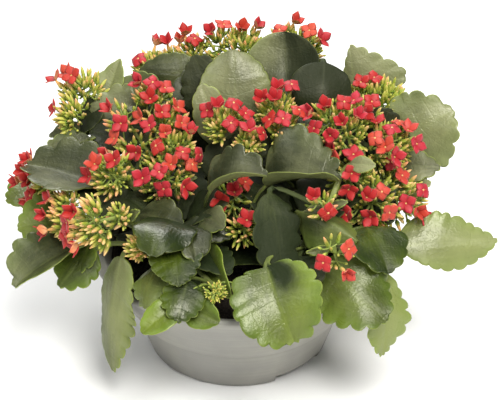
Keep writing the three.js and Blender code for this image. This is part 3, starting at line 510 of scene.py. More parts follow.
def petalLook(graph, place):
    along, across, back = graph.stored("petalPlace")
    pink, _, seed = graph.stored("bloomKind")
    streak = place.noise(700, 2)
    front = pink.blend((0.37, 0.01, 0.005), (0.42, 0.018, 0.045))
    front = (streak * 0.3).blend(front, (0.46, 0.03, 0.02))
    # painted shade: darker towards the base of each petal, in the floret's middle
    front = ((1 - along.step(0.1, 0.6)) * 0.5).blend(front, (0.3, 0.004, 0.008))
    front = (seed.step(0.66, 0.95) * 0.6).blend(front, (0.56, 0.085, 0.035))
    # lighter and more orange towards each petal's side edges: painted light, with an orange tint
    front = (abs(across).step(0.72, 1) * 0.3).blend(front, (0.66, 0.09, 0.05))
    rear = along.step(0, 0.9).blend((0.8, 0.44, 0.22), (0.74, 0.22, 0.1))
    petal = back.step(0.4, 0.6).blend(front, rear)
    petal = (1 - along.step(0, 0.06)).blend(petal, (0.55, 0.36, 0.05))  # the eye
    tube = along.step(-1, -0.1).blend((0.42, 0.42, 0.08), (0.8, 0.38, 0.13))
    petal = (1 - along.step(-0.12, 0)).blend(petal, tube)
    whole = along.step(-1.12, -1).blend((0.21, 0.3, 0.045), petal)  # the cup is green
    return {"Base Color": whole, "Roughness": 0.42 + streak * 0.2, "Normal": streak.bump(0.00012),
            "Specular IOR Level": 0.35, "Sheen Weight": 0.08, "Sheen Roughness": 0.5}


def budLook(graph, place):
    along, _, part = graph.stored("petalPlace")
    _, ripe, seed = graph.stored("bloomKind")
    speck = place.noise(500, 2)
    green = seed.blend((0.28, 0.34, 0.035), (0.54, 0.53, 0.1))
    warm = seed.blend((0.8, 0.3, 0.15), (0.82, 0.58, 0.25))
    body = (along + ripe * 0.6 + speck * 0.25).step(0.85, 1.55).blend(green, warm)
    body = part.step(0.4, 0.6).blend(body, (0.23, 0.33, 0.045))
    return {"Base Color": body, "Roughness": 0.38 + speck * 0.2, "Normal": speck.bump(0.0001),
            "Specular IOR Level": 0.4}


def stalkLook(graph, place):
    young = graph.stored("stalkKind")[0]
    speck = place.noise(300)
    old = speck.blend((0.045, 0.05, 0.022), (0.11, 0.12, 0.045))
    body = young.blend(old, speck.blend((0.17, 0.25, 0.045), (0.36, 0.42, 0.09)))
    return {"Base Color": body, "Roughness": 0.42 + speck * 0.2, "Normal": speck.bump(0.0002),
            "Specular IOR Level": 0.45}


def potLook(graph, place):
    cloud = place.noise(14, 4)
    grain = place.noise(1400, 2)
    squashed = graph.node("ShaderNodeMapping", {"Vector": place, "Scale": (0.15, 0.15, 6)})
    drag = squashed.noise(60)  # faint bands round the wall from the mould
    dust = (cloud * 0.8 + drag * 0.3).step(0.45, 0.85)
    body = dust.blend((0.26, 0.255, 0.23), (0.37, 0.36, 0.31))
    # painted shade: the wall is darker in its lowest 30 mm, towards the floor
    low = 1 - graph.split(place)[2].step(0, 0.03)
    body = (low * 0.35).blend(body, (0.17, 0.16, 0.14))
    return {"Base Color": body, "Roughness": 0.36 + cloud * 0.18 + grain * 0.06,
            "Normal": (grain * 0.5 + drag * 0.2).bump(0.00012), "Specular IOR Level": 0.5}


def soilLook(graph, place):
    lump = place.noise(180, 5)
    crumb = graph.node("ShaderNodeTexVoronoi", {"Vector": place, "Scale": 420}, "Distance")
    body = lump.blend((0.006, 0.005, 0.004), (0.03, 0.022, 0.016))
    return {"Base Color": body, "Roughness": 0.8 + lump * 0.2, "Normal": (lump + crumb * 0.6).bump(0.0015),
            "Specular IOR Level": 0.2}


def floorLook(graph, place):
    body = place.noise(3, 2).blend((0.88, 0.88, 0.87), (0.92, 0.92, 0.91))
    return {"Base Color": body, "Roughness": 0.9, "Specular IOR Level": 0.1}


leafFinish = newMaterial("waxyLeaf", leafLook)
petalFinish = newMaterial("floret", petalLook)
budFinish = newMaterial("bud", budLook)
stalkFinish = newMaterial("stalk", stalkLook)
potFinish = newMaterial("greyPlastic", potLook)
soilFinish = newMaterial("pottingSoil", soilLook)
floorFinish = newMaterial("paleFloor", floorLook)
print("finishes ready")


# camera, light and floor

cameraPlace = {"across": 9.7, "upward": 106.6, "distance": 1300, "pitch": 32.14, "lens": 115.8,
               "sensor": 36}
lights = {  # the place, size, power and colour of each softbox
    "keySoftbox": ((0.6, -1.2, 2.0), 1.1, 70, (1, 0.985, 0.95)),
    "topSoftbox": ((0.1, 0.2, 2.4), 1.2, 15, (1, 1, 1)),
    "fillSoftbox": ((-1.4, -1.1, 1.4), 1.0, 14, (0.97, 0.98, 1)),
    "backSoftbox": ((-0.2, 1.5, 1.7), 1.0, 30, (1, 1, 1)),
}
room = {"aim": (0, 0, 0.12), "colour": (0.97, 0.98, 1, 1), "strength": 0.16, "floor": 4000, "drop": -0.2}


def setCamera():
    pitch, upward, ahead = radians(cameraPlace["pitch"]), cameraPlace["upward"], cameraPlace["distance"]
    data = bpy.data.cameras.new("camera")
    data.lens = cameraPlace["lens"]
    data.sensor_width = cameraPlace["sensor"]
    made = newObject("camera", data)
    made.location = Vector((cameraPlace["across"], upward * sin(pitch) - ahead * cos(pitch),
                            upward * cos(pitch) + ahead * sin(pitch))) * mm
    made.rotation_euler = (pi / 2 - pitch, 0, 0)
    bpy.context.scene.camera = made


def setLights():
    for name, (place, size, power, colour) in lights.items():
        data = bpy.data.lights.new(name, "AREA")
        data.size = size
        data.energy = power
        data.color = colour
        made = newObject(name, data)
        made.location = place
        made.rotation_euler = (Vector(room["aim"]) - made.location).to_track_quat("-Z", "Y").to_euler()
    world = bpy.data.worlds.new("paleRoom")
    world.use_nodes = True
    sky = world.node_tree.nodes["Background"].inputs
    sky["Color"].default_value = room["colour"]
    sky["Strength"].default_value = room["strength"]
    bpy.context.scene.world = world
    bpy.context.scene.view_settings.view_transform = "Standard"


def setFloor():
    far, low = room["floor"], room["drop"]
    corners = [(-far, -far, low), (far, -far, low), (far, far, low), (-far, far, low)]
    floor = newObject("floor", newMesh("floor", corners, [(0, 1, 2, 3)], floorFinish))


setCamera()
setLights()
setFloor()


# the bowl

potSizes = {"facets": 176, "rounding": (0, 0.33, 0.67, 1), "footRadius": 69, "notchAt": (-47, 133),
            "notchSpan": 38, "notchHeight": 7, "notchDepth": 11, "notchReach": 90, "notchDrop": -3,
            "notchSteps": 14, "sharpFrom": 40}
potCorners = [  # radius, height and how far the corner is rounded
    (0, 0, 0), (69, 0, 0.6), (71, 1.5, 0.8), (82.4, 37.2, 0.2), (82.7, 38.2, 0.2), (84.3, 38.9, 0.4),
    (96, 60, 0.1), (96.6, 60.5, 0.1), (111.2, 85.6, 0.5), (112.6, 86.2, 0.6), (114.2, 88.6, 1.2),
    (115, 91.5, 1.2), (112.5, 94, 1), (105, 90.4, 2), (103, 87, 1.6), (80, 38, 3), (66, 6, 1.5), (0, 6, 0),
]


def roundedOutline(corners):
    flat = [point(corner[:2]) for corner in corners]
    outline = [flat[0]]
    for i in range(1, len(corners) - 1):
        spot, radius = flat[i], corners[i][2]
        before, after = flat[i - 1] - spot, flat[i + 1] - spot
        inward = min(radius, 0.45 * norm(before), 0.45 * norm(after))
        first, last = spot + unit(before) * inward, spot + unit(after) * inward
        for t in potSizes["rounding"]:
            outline.append(first * (1 - t) ** 2 + spot * 2 * t * (1 - t) + last * t * t)
    return outline + [flat[-1]]


def turnedSolid(outline, facets):
    inner = outline[1:-1]
    points = [(0, 0, outline[0][1])]
    points += [onRing(radius, 2 * pi * i / facets, height) for radius, height in inner for i in range(facets)]
    points.append((0, 0, outline[-1][1]))
    last = 1 + (len(inner) - 1) * facets
    faces = [(0, 1 + (i + 1) % facets, 1 + i) for i in range(facets)] + ringFaces(len(inner), facets, 1)
    faces += [(last + i, last + (i + 1) % facets, len(points) - 1) for i in range(facets)]
    return points, faces


def notchCutter(turn):
    half, steps = radians(potSizes["notchSpan"] / 2), potSizes["notchSteps"]
    inner, outer = potSizes["footRadius"] - potSizes["notchDepth"], potSizes["notchReach"]
    low, high = potSizes["notchDrop"], potSizes["notchHeight"]
    points = []
    for i in range(steps + 1):
        angle = radians(turn) - half + 2 * half * i / steps
        rows = [(inner, low), (outer, low), (outer, high), (inner, high)]
        points += [onRing(radius, angle, height) for radius, height in rows]
    faces = [(0, 3, 2, 1), tuple(4 * steps + k for k in range(4))] + ringFaces(steps + 1, 4)
    cutter = newObject("cutter", newMesh("cutter", points, faces))
    turnOutward(cutter.data)
    return cutter


def turnOutward(mesh):
    work = bmesh.new()
    work.from_mesh(mesh)
    bmesh.ops.recalc_face_normals(work, faces=work.faces)
    work.to_mesh(mesh)
    work.free()


def makePot():
    points, faces = turnedSolid(roundedOutline(potCorners), potSizes["facets"])
    pot = newObject("planting_bowl", newMesh("planting_bowl", points, faces, potFinish))
    turnOutward(pot.data)
    cutters = [notchCutter(turn) for turn in potSizes["notchAt"]]
    for cutter in cutters:
        cut = pot.modifiers.new("notch", "BOOLEAN")
        cut.operation = "DIFFERENCE"
        cut.solver = "EXACT"
        cut.object = cutter
    finished = evaluated(pot)
    pot.modifiers.clear()
    pot.data = finished
    for cutter in cutters:
        bpy.data.objects.remove(cutter)
    finished.set_sharp_from_angle(angle=radians(potSizes["sharpFrom"]))
    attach(pot, "root")
    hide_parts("pot")


makePot()
print("bowl made")


# the soil keeps its solid and gets loose crumbs on top

crumbSizes = {"spacing": 4.2, "largest": 2.6, "most": 90000, "radius": 96, "sides": 72, "seed": 4}


def makeSoil():
    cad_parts["soil"].data.materials.clear()
    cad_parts["soil"].data.materials.append(soilFinish)
    graph, start = newTree("soilCrumbs", Spacing="Float", Largest="Float", Seed="Int")
    seed = start.out("Seed")
    values = {"Mesh": start, "Distance Min": start.out("Spacing"), "Density Max": crumbSizes["most"],
              "Seed": seed}
    spots = graph.node("GeometryNodeDistributePointsOnFaces", values, distribute_method="POISSON")
    ball = graph.node("GeometryNodeMeshIcoSphere", {"Radius": start.out("Largest"), "Subdivisions": 1})
    values = {"Points": spots, "Instance": ball, "Rotation": graph.spin([fullTurn] * 3, seed),
              "Scale": graph.chance((0.3, 0.3, 0.3), (1, 0.8, 0.7), seed)}
    tree = endTree(graph, start, graph.node("GeometryNodeInstanceOnPoints", values))
    edge, sides = crumbSizes["radius"], crumbSizes["sides"]
    points = [(0, 0, soilTop + soilMound)]
    points += [onRing(edge, radians(360 / sides * i), soilTop) for i in range(sides)]
    faces = [(0, 1 + i, 1 + (i + 1) % sides) for i in range(sides)]
    bed = newMesh("crumbBed", points, faces, soilFinish)
    crumbs = grown("soil_crumbs", bed, tree, Spacing=crumbSizes["spacing"] * mm,
                   Largest=crumbSizes["largest"] * mm, Seed=crumbSizes["seed"], Material=soilFinish)
    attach(crumbs, "root")


makeSoil()
print("soil made")


# stems and stalks: tubes grown along lines, each point with its own girth

stalkSizes = {"trunk": 4.8, "trunkTop": 3.8, "stalk": 2.3, "crown": 112, "lean": 1.15, "holdBack": 4,
              "core": 0.5, "gap": 0.3}
# where on a line a leaf's own stalk may leave it
joinRange = {"first": 0.15, "last": 0.8, "aboveSoil": 14, "below": 12, "penalty": 1.5}


def makeTubeTree():
    graph, start = newTree("stalkTubes", Sides="Int")
    line = graph.node("GeometryNodeMeshToCurve", {"Mesh": start})
    ring = graph.node("GeometryNodeCurvePrimitiveCircle", {"Resolution": start.out("Sides"), "Radius": 1})
    values = {"Curve": line, "Profile Curve": ring, "Scale": graph.named("girth"), "Fill Caps": True}
    return endTree(graph, start, graph.node("GeometryNodeCurveToMesh", values))


tubeTree = makeTubeTree()


def growTubes(name, lines, sides):  # each line: points, radii in millimetres and how young it is
    points, edges, girths, kinds = [], [], [], []
    for line, radii, young in lines:
        edges += [(i, i + 1) for i in range(len(points), len(points) + len(line) - 1)]
        points += list(line)
        girths += [radius * mm for radius in radii]
        kinds += [(young, 0, 0)] * len(line)
    mesh = newMesh(name, points, edges=edges, girth=girths, stalkKind=kinds)
    return grown(name, mesh, tubeTree, Sides=sides, Material=stalkFinish)


def stalkEnd(head):
    first = head.cymes[0]
    return first.fork - first.axis * (stalkSizes["core"] * first.reach + stalkSizes["holdBack"])


def overRoot(name, height):  # a place on the stem, which leans outward
    return point((*point(roots[name]) * stalkSizes["lean"], height))


def plantLines(name):  # the trunk and the stalks as lists of points
    foot, crown = point((*roots[name], soilTop + soilMound - holeDepth)), overRoot(name, stalkSizes["crown"])
    trunk = [foot + (crown - foot) * t for t in np.linspace(0, 1, 9)]
    fork = foot + (crown - foot) * 0.8
    stalks = []
    for head in heads.values():
        if head.plant == name:
            end = stalkEnd(head)
            span = norm(end - crown)
            lift = fork + (end - fork) * 0.3 + up(0.15 * span)
            stalks.append(bezier(fork, lift, end - head.cymes[0].axis * 0.35 * span, end, 25))
    return trunk, stalks


def joinFor(shape, lines):  # where a leaf's own stalk leaves the plant
    first, last, aboveSoil, below, penalty = joinRange.values()
    spots = np.concatenate([line[int(first * len(line)):int(last * len(line)) + 1] for line in lines])
    spots = spots[spots[:, 2] > soilTop + aboveSoil]
    high = np.maximum(0, spots[:, 2] - shape.at[2] + below)
    return spots[np.argmin(norm(spots - shape.at, axis=1) + penalty * high)]


# leaves

leafSizes = {
    "thick": 2.4, "petioleWide": 2.1, "petioleThick": 1.7, "petioleSteps": 9, "lobeDepth": 2.3,
    "lobeSteps": (0, 0.14, 0.32, 0.5, 0.68, 0.86), "spread": 0.13, "quilt": 0.12, "pleat": 0.9, "veins": 6.5,
    "across": (0, 0.1, 0.26, 0.44, 0.62, 0.78, 0.9, 0.97, 1), "below": (0, 0.35, 0.72, 0.95),
    "lobeDepths": (0.45, 1.25), "lobeWidths": (0.6, 1.4), "waves": (1.2, 2), "soft": 0.12, "groove": 0.55,
    "grooveWide": 1.5, "petioleFlat": 0.55,
}
across, below = leafSizes["across"], leafSizes["below"]
leafLayout = [(-v, 1) for v in across[:0:-1]] + [(v, 1) for v in across]  # a ring, its upper face first
leafLayout += [(v, -1) for v in below[::-1]] + [(-v, -1) for v in below[1:]]
bractSizes = {"back": 5, "out": 3, "long": (15, 24), "wide": (6, 9), "leafBack": 12, "leafOut": -10,
              "leafLong": 34, "leafWide": 30}


def halfWidth(shape, share, sign=1):
    swell = np.sin(np.pi * np.clip(share, 0, 1) ** shape.shoulder[sign])
    return 0.5 * shape.wide * swell ** shape.blunt


def leafMargin(shape, length, draw):  # the scalloped edge of each half, step by step from the foot
    samples = np.linspace(0, 1, 400)
    arcs = np.hypot(np.diff(samples) * length, np.diff(halfWidth(shape, samples)))
    arcs = np.concatenate([[0], np.cumsum(arcs)])
    lobes = max(4, round(arcs[-1] / shape.lobe))
    steps = np.add.outer(np.arange(lobes), leafSizes["lobeSteps"]).ravel()
    steps = steps[(steps > 0) & (steps < lobes - 0.55)]
    around = steps / (lobes - 0.5)
    phases = {sign: draw.uniform(0, fullTurn) for sign in (-1, 1)}
    depths = {sign: [draw.uniform(*leafSizes["lobeDepths"]) for _ in range(lobes + 1)] for sign in (-1, 1)}
    waves = draw.uniform(*leafSizes["waves"])
    spots = {}
    for sign in (-1, 1):
        widths = np.array([draw.uniform(*leafSizes["lobeWidths"]) for _ in range(lobes)])
        marks = np.concatenate([[0], np.cumsum(widths)]) / (widths.sum() - 0.5 * widths[-1])
        slid = np.clip(np.interp(steps, np.arange(lobes + 1), marks), 0, 1)
        share = np.interp(slid * arcs[-1], arcs, samples)
        near, far = np.clip(share - 0.004, 0, 1), np.clip(share + 0.004, 0, 1)
        ahead, out = (far - near) * length, halfWidth(shape, far, sign) - halfWidth(shape, near, sign)
        tread = np.hypot(ahead, out)
        lobe = np.abs(np.sin(np.pi * (steps % 1))) ** 0.7 - 0.62
        lobe *= leafSizes["lobeDepth"] * shape.edge[sign] * shape.lobe / 9 * smooth(around, 0.1, 0.38)
        lobe *= min(1, shape.wide / 34 + 0.25)
        lobe *= np.array([depths[sign][int(step)] * min(1.25, widths[int(step)]) for step in steps])
        lobe *= shape.halves[sign]
        half = halfWidth(shape, share, sign) * shape.halves[sign]
        spots[sign] = (share, half, -out / tread * lobe, ahead / tread * lobe)
    return steps, around, spots, phases, waves


def petioleRings(shape, start, onward, side, greenVsGreySheen):
    rings, foot, tone = [], shape.at, shape.tone
    count, petiole = leafSizes["petioleSteps"], leafSizes["petioleWide"]
    reach = norm(foot - start)
    path = bezier(start, start + (foot - start) * 0.35 + up(0.08 * reach), foot - onward * 0.3 * reach, foot,
                  count + 1)
    for i in range(count):
        heading = unit(path[i + 1] - path[i])
        sideways = squareTo(side, heading)
        upward = np.cross(heading, sideways)
        rings.append([])
        for v, face in leafLayout:
            high = sqrt(max(0, 1 - v * v)) * leafSizes["petioleThick"]
            high *= leafSizes["petioleFlat"] if face > 0 else -1
            spot = path[i] + sideways * v * petiole + upward * high
            rings[-1].append((spot, (i / count - 1, v, 0.5 - 0.5 * face), (tone, greenVsGreySheen, petiole)))
    return rings


def leafRings(shape, start, draw):  # rings of points from the stem to the tip
    foot, tip, tone, greenVsGreySheen = shape.at, shape.tip, shape.tone, shape.greenVsGreySheen
    run = tip - foot
    length = norm(run)
    axis = run / length
    upFlat = squareTo(shape.face, axis)
    side = np.cross(upFlat, axis)
    bow = upFlat * 4 * shape.arch
    steps, margin, spots, phases, waves = leafMargin(shape, length, draw)
    if greenVsGreySheen is None:  # low leaves are greener, upper ones greyer with painted sheen
        greenVsGreySheen = min(1, max(0, smooth(140 - foot[2], 0, 30) + draw.uniform(-0.2, 0.2)))
    middleShare = 0.5 * (spots[-1][0] + spots[1][0])
    middleShare = middleShare - leafSizes["spread"] * np.sin(np.pi * middleShare)
    rings = petioleRings(shape, start, unit(run + bow), side, greenVsGreySheen)
    for i, around in enumerate(margin):
        rings.append([])
        grow = smooth(around, 0.1, 0.45)
        for v, face in leafLayout:
            sign, w = 1 if v >= 0 else -1, abs(v)
            share, half, ahead, out = (values[i] for values in spots[sign])
            half = max(half, leafSizes["petioleWide"] * (1 - smooth(around, 0, 0.12)))
            along = middleShare[i] + (share - middleShare[i]) * w ** 1.2 + ahead / length * w ** 3
            lateral = half * w + out * w ** 3
            soft = leafSizes["soft"] * half
            lift = sqrt(lateral * lateral + soft * soft) - soft
            rise = radians(shape.cup[sign])
            ripple = shape.wave * w * w * grow * sin(fullTurn * waves * around + phases[sign])
            ripple += 0.6 * shape.wave * w * sign * sin(7 * around + phases[-sign])
            ripple *= min(1, half / 18)
            pleat = leafSizes["pleat"] * shape.edge[sign] * (abs(sin(pi * steps[i])) - 0.6)
            ripple += pleat * w ** 4 * grow
            quilt = leafSizes["quilt"] * w * (1 - w) * 4 * -cos(fullTurn * leafSizes["veins"] * around)
            thick = 0.5 * leafSizes["thick"] * (1 - 0.3 * along) * sqrt(max(0, 1 - w ** 6))
            groove = leafSizes["groove"] * exp(-(lateral / leafSizes["grooveWide"]) ** 2) * grow
            middle = foot + run * along + bow * along * (1 - along)
            upward = unit(np.cross(unit(axis * length + bow * (1 - 2 * along)), side))
            high = lift * sin(rise) + ripple + quilt * grow + face * thick - groove
            spot = middle + side * sign * lateral * cos(rise) + upward * high
            inner = min(1, 4 * w) * (1 - smooth(w, 0.2, 0.95))  # painted shade beside the midrib near the foot, where the fold lies in shade
            paintedPocketShade = shape.paintedPocketShade[sign] * inner * (1 - smooth(along, 0.1, 0.6))
            # painted light and shade: one half of the leaf is made lighter and the other darker, as the light
            # falls on them
            kind = (max(0, tone + shape.shift * v - paintedPocketShade), greenVsGreySheen, half)
            rings[-1].append((spot, (around, v, 0.5 - 0.5 * face if w < 1 else 0.5), kind))
    return rings + [[(tip, (1, 0, 0.5), (tone, greenVsGreySheen, 1))]]


def seededStream(state):  # the same shares as in the solids
    while True:
        state = (state * 1664525 + 1013904223) % 4294967296
        yield state / 4294967296


def tierLeaves(rule, base, vary):
    for start, end, count, reach, height, length, rise, wide in rule["tiers"]:
        for i in range(count):
            turn = radians(start + (end - start) * ((i + 0.5) / count) + vary(-rule["turn"], rule["turn"]))
            climb, out = radians(rise + vary(-rule["rise"], rule["rise"])), compass(turn)[0]
            foot = base + up(height + vary(-4, 4)) + out * reach
            tip = foot + raised(out, climb) * (length * vary(rule["shortest"], 1.1))
            yield leaf(foot, tip, (0, 0, 1), wide, 6, rule["cup"], rule["tone"], rule["lobe"])


def shadeLeaves(name, draw):  # near-black leaves inside, about each stem, as painted shade there, and none before the tall leaves
    for shape in tierLeaves(shadeRule, overRoot(name, 0), draw.uniform):
        across, ahead, high = shape.tip
        if hypot(across, ahead) < shadeRoom["radius"]:
            if ahead > shadeRoom["front"] or high < shadeRoom["height"]:
                yield shape


def bracts(name, draw):  # a pair of small narrow leaves where each stalk ends in its head
    made = []
    for head in heads.values():
        if head.plant == name:
            end, axis = stalkEnd(head), head.cymes[0].axis
            side = squareTo(point((1, 0.3, 0)), axis)
            for sign in (-1, 1):
                heading = unit(side * sign + axis * draw.uniform(0.3, 0.9))
                foot = end - axis * bractSizes["back"] + heading * bractSizes["out"]
                tip = foot + heading * draw.uniform(*bractSizes["long"])
                made.append(leaf(foot, tip, axis, draw.uniform(*bractSizes["wide"]), 2, 8, 0.35, lobe=6))
            # and under every second cyme from the third, a near-black leaf: painted shade behind the head
            for shape in head.cymes[2::2]:
                lean = shape.axis
                heading = unit(squareTo(point((draw.uniform(-1, 1), draw.uniform(-0.5, 0.5), 0.2)), lean))
                foot = shape.fork - lean * bractSizes["leafBack"] + heading * bractSizes["leafOut"]
                tip, face = foot + heading * bractSizes["leafLong"], lean + point((0, -0.3, 0.6))
                made.append(leaf(foot, tip, face, bractSizes["leafWide"], 4, 4, 0.05, lobe=10))
    return made


def makePlant(name, backLeaves):
    draw = random.Random(sum(map(ord, name)))
    shapes = leaves[name] + backLeaves + list(shadeLeaves(name, draw)) + bracts(name, draw)
    trunk, stalks = plantLines(name)
    lines = [np.array(trunk)] + stalks
    points, faces, places, kinds = gathered(leafRings(shape, joinFor(shape, lines), draw) for shape in shapes)
    mesh = newMesh("leaves_" + name, points, faces, leafFinish, leafPlace=places, leafKind=kinds)
    blades = newObject("leaves_" + name, mesh)
    tubes = [(trunk, np.linspace(stalkSizes["trunk"], stalkSizes["trunkTop"], len(trunk)), 0.15)]
    tubes += [(line, [stalkSizes["stalk"]] * len(line), 0.3) for line in stalks]
    plant = joined("foliage_" + name, [blades, growTubes("stems_" + name, tubes, 12)])
    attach(plant, "root")
    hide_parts("plant_" + name)
    return len(points)


stream = seededStream(7)
backLeaves = list(tierLeaves(backRule, 0, lambda low, high: low + (high - low) * next(stream)))
for plantName in roots:
    own = [shape for shape in backLeaves if plantName == ("back_left" if shape.at[0] < 0 else "back_right")]
    print("foliage", plantName, makePlant(plantName, own), "points")


# one open floret and one bud, each made once and then set out by Geometry Nodes

floretSizes = {"radius": 8, "mouth": 0.5, "wide": 7.8, "tube": 8.5, "tubeWide": 1.5, "thick": 0.35, "rows": 8,
               "sepal": 3.4, "sepalLean": 28, "stagger": 2.2, "sizes": (0.92, 1.06),
               "opening": {"flat": 6, "open": 20, "cupped": 36, "bent": -14, "half": 62},
               "chances": (2, 3, 3, 2, 4)}
budSizes = {"long": 9.6, "wide": 2.9, "sides": 6, "calyxSides": 8, "count": 93, "widest": 90, "clear": 5,
            "near": 0.34, "forks": 9, "forkWidest": 62, "sizes": (0.75, 1.1), "youngSizes": (0.5, 0.85)}
twigs = {  # radius at each end, how young it is and its number of points
    "neck": (stalkSizes["stalk"], 1.6, 0.75, 6), "branch": (1.7, 1.4, 0.7, 7), "fork": (1.3, 0.8, 0.85, 5),
    "bloom": (0.7, 0.6, 0.95, 5), "bud": (0.6, 0.45, 0.95, 4),
}
petalOutline = (0.35, 0.62, 0.84, 0.97, 1, 0.91, 0.7, 0.4, 0.05)  # share of the width, row by row
petalRing = ((-1, 0), (-0.55, 1), (0, 1), (0.55, 1), (1, 0), (0.55, -1), (0, -1), (-0.55, -1))
budProfiles = {  # share of the length and of the width
    "bud": [(0, 0.3), (0.16, 0.8), (0.36, 1), (0.56, 0.97), (0.74, 0.78), (0.89, 0.45), (1, 0.06)],
    "young": [(0, 0.4), (0.14, 0.95), (0.32, 1), (0.48, 0.7), (0.6, 0.1)],
}


def petalRings(turn, opening, draw):
    twist, bend = draw.uniform(-0.16, 0.16), draw.uniform(-26, 6)
    turn += draw.uniform(-0.15, 0.15)
    opening += draw.uniform(-10, 10)
    length, wide = draw.uniform(0.9, 1.06), floretSizes["wide"] * draw.uniform(0.88, 1.08)
    rings, rows = [], floretSizes["rows"]
    spot = point((floretSizes["mouth"], 0))
    stride = length * (floretSizes["radius"] - floretSizes["mouth"]) / rows / max(0.75, cos(radians(opening)))
    outward, sideways = compass(turn)
    for row in range(rows + 1):
        r = row / rows
        tilt = radians(opening + (70 - opening) * (1 - smooth(r, 0, 0.15)) + bend * r)
        half = 0.5 * wide * petalOutline[row]
        if row:
            spot = spot + stride * point((cos(tilt), sin(tilt)))
        upward = up(1) * cos(tilt) - outward * sin(tilt)
        rings.append([])
        for s, face in petalRing:
            fold = (abs(s) - 0.5) * -1.1 * smooth(r, 0.05, 0.6) * (1 - 0.5 * r) + twist * s * half * r
            high = 0.5 * floretSizes["thick"] * face + fold
            place = outward * spot[0] + up(spot[1]) + sideways * s * half + upward * high
            rings[-1].append((place, (max(0.001, r), s, 0.5 - 0.5 * face)))
    return rings


def sepalRings(turn):
    outward, sideways = compass(turn)
    rings, length, lean = [], floretSizes["sepal"], radians(floretSizes["sepalLean"])
    base = -floretSizes["tube"] - 0.2
    for r in (0, 0.5, 0.95):
        spot = up(base + length * r * cos(lean)) + outward * (0.7 + length * r * sin(lean))
        half = sideways * (0.85 * (1 - r) + 0.05)
        ring = (spot - half, spot + outward * 0.25, spot + half, spot - outward * 0.2)
        rings.append([(place, (-1.5, 0, 1)) for place in ring])
    return rings


def turnedRings(outline, places, sides, part):
    return [[(onRing(r, 2 * pi * k / sides, z), (place, 0, part)) for k in range(sides)]
            for (r, z), place in zip(outline, places)]


def newShape(name, solids, material):
    points, faces, places = gathered(solids)
    return newObject(name, newMesh(name, points, faces, material, petalPlace=places))


def makeFloret(name, opening):
    draw = random.Random(opening)
    tube, wide = floretSizes["tube"], floretSizes["tubeWide"]
    outline = [(0.7, -tube), (wide, -tube + 1.4), (wide, -0.5 * tube), (0.7 * wide, -1.4), (0.75, 0.1),
               (0.3, 0.2)]
    solids = [petalRings(pi * k / 2, opening, draw) for k in range(4)]
    solids.append(turnedRings(outline, [-1, -0.9, -0.55, -0.3, 0.12, 0.01], 8, 1))
    return newShape(name, solids + [sepalRings(pi * (k + 0.5) / 2) for k in range(4)], petalFinish)


def makeBud(name, profile, sepals):
    length, half, sides = budSizes["long"], 0.5 * budSizes["wide"], budSizes["calyxSides"]
    outline = [(half * wide, length * z) for z, wide in profile]
    rings = []
    for ends in [((0.45, -0.06),) * 2, ((0.95, 0.08), (1.1, 0.1)), ((0.95, 0.17), (1.35, sepals))]:
        ring = [(*ends[k % 2], 2 * pi * k / sides) for k in range(sides)]  # a sepal every second point
        rings.append([(onRing(half * wide, turn, length * high), (0, 0, 1)) for wide, high, turn in ring])
    body = turnedRings(outline, [z for z, _ in profile], budSizes["sides"], 0)
    return newShape(name, [body, rings], budFinish)


prototypes = {label: makeFloret(label + "Floret", angle) for label, angle in floretSizes["opening"].items()}
prototypes["bud"] = makeBud("budShape", budProfiles["bud"], 0.36)
prototypes["young"] = makeBud("youngShape", budProfiles["young"], 0.42)
sorts = {label: number for number, label in enumerate(prototypes)}


def makeBloomTree():  # sets a floret or bud on each point by its stored sort, aim and size
    graph, start = newTree("setOutBlooms", Seed="Int", **{label: "Object" for label in prototypes})
    values = {"Vector": graph.named("aim", "FLOAT_VECTOR")}
    values = {"Rotation": graph.node("FunctionNodeAlignRotationToVector", values, axis="Z"),
              "Rotate By": graph.spin((0, 0, fullTurn), start.out("Seed"))}
    rotation = graph.node("FunctionNodeRotateRotation", values, rotation_space="LOCAL")
    sort, size = graph.named("sort", "INT"), graph.named("size")
    spots = graph.node("GeometryNodeMeshToPoints", {"Mesh": start})
    together = graph.tree.nodes.new("GeometryNodeJoinGeometry")
    for label, number in sorts.items():
        values = {"A_INT": sort, "B_INT": number}
        chosen = graph.node("FunctionNodeCompare", values, data_type="INT", operation="EQUAL")
        shape = graph.node("GeometryNodeObjectInfo", {"Object": start.out(label)}, "Geometry")
        values = {"Points": spots, "Selection": chosen, "Instance": shape, "Rotation": rotation,
                  "Scale": size}
        graph.feed(together.inputs[0], graph.node("GeometryNodeInstanceOnPoints", values))
    return endTree(graph, start, Wire(graph, together.outputs[0]))


bloomTree = makeBloomTree()


def setOut(name, spots, material, seed):  # each spot: place, aim, size, sort and kind
    places, aims, sizes, sorts, kinds = zip(*spots)
    mesh = newMesh(name, places, aim=aims, size=sizes, sort=sorts, bloomKind=kinds)
    return grown(name, mesh, bloomTree, Seed=seed, Material=material, **prototypes)


def bloomSpots(shape):  # the places of the open florets about the fork, as in the solids
    axis = shape.axis
    right = squareTo(point((1, 0, 0)), axis)
    ahead = np.cross(axis, right)
    spots = []
    for order, (across, upwards) in enumerate(shape.blooms):
        depth = sqrt(max(shape.reach ** 2 - across ** 2 - upwards ** 2, 9))
        spot = axis * depth + right * across + ahead * upwards
        spot = spot + unit(spot) * floretSizes["stagger"] * (order % 3 - 1)
        spots.append((shape.fork + spot, unit(unit(spot) + axis * 0.3)))
    return spots


def spread(axis, count, widest):  # directions spaced evenly over a cap about an axis
    side = squareTo(point((1, 0.1, 0)), axis)
    ahead = np.cross(axis, side)
    lowest = cos(radians(widest))
    found = []
    for i in range(count):
        high = 1 - (1 - lowest) * (i + 0.5) / count
        turn = i * goldenAngle
        found.append(axis * high + (side * cos(turn) + ahead * sin(turn)) * sqrt(1 - high * high))
    return found


def jittered(direction, amount, draw):
    return unit(direction + point([draw.uniform(-amount, amount) for _ in range(3)]))


def twig(kind, *path):
    first, last, young, count = twigs[kind]
    return bezier(*path, count), np.linspace(first, last, count), young


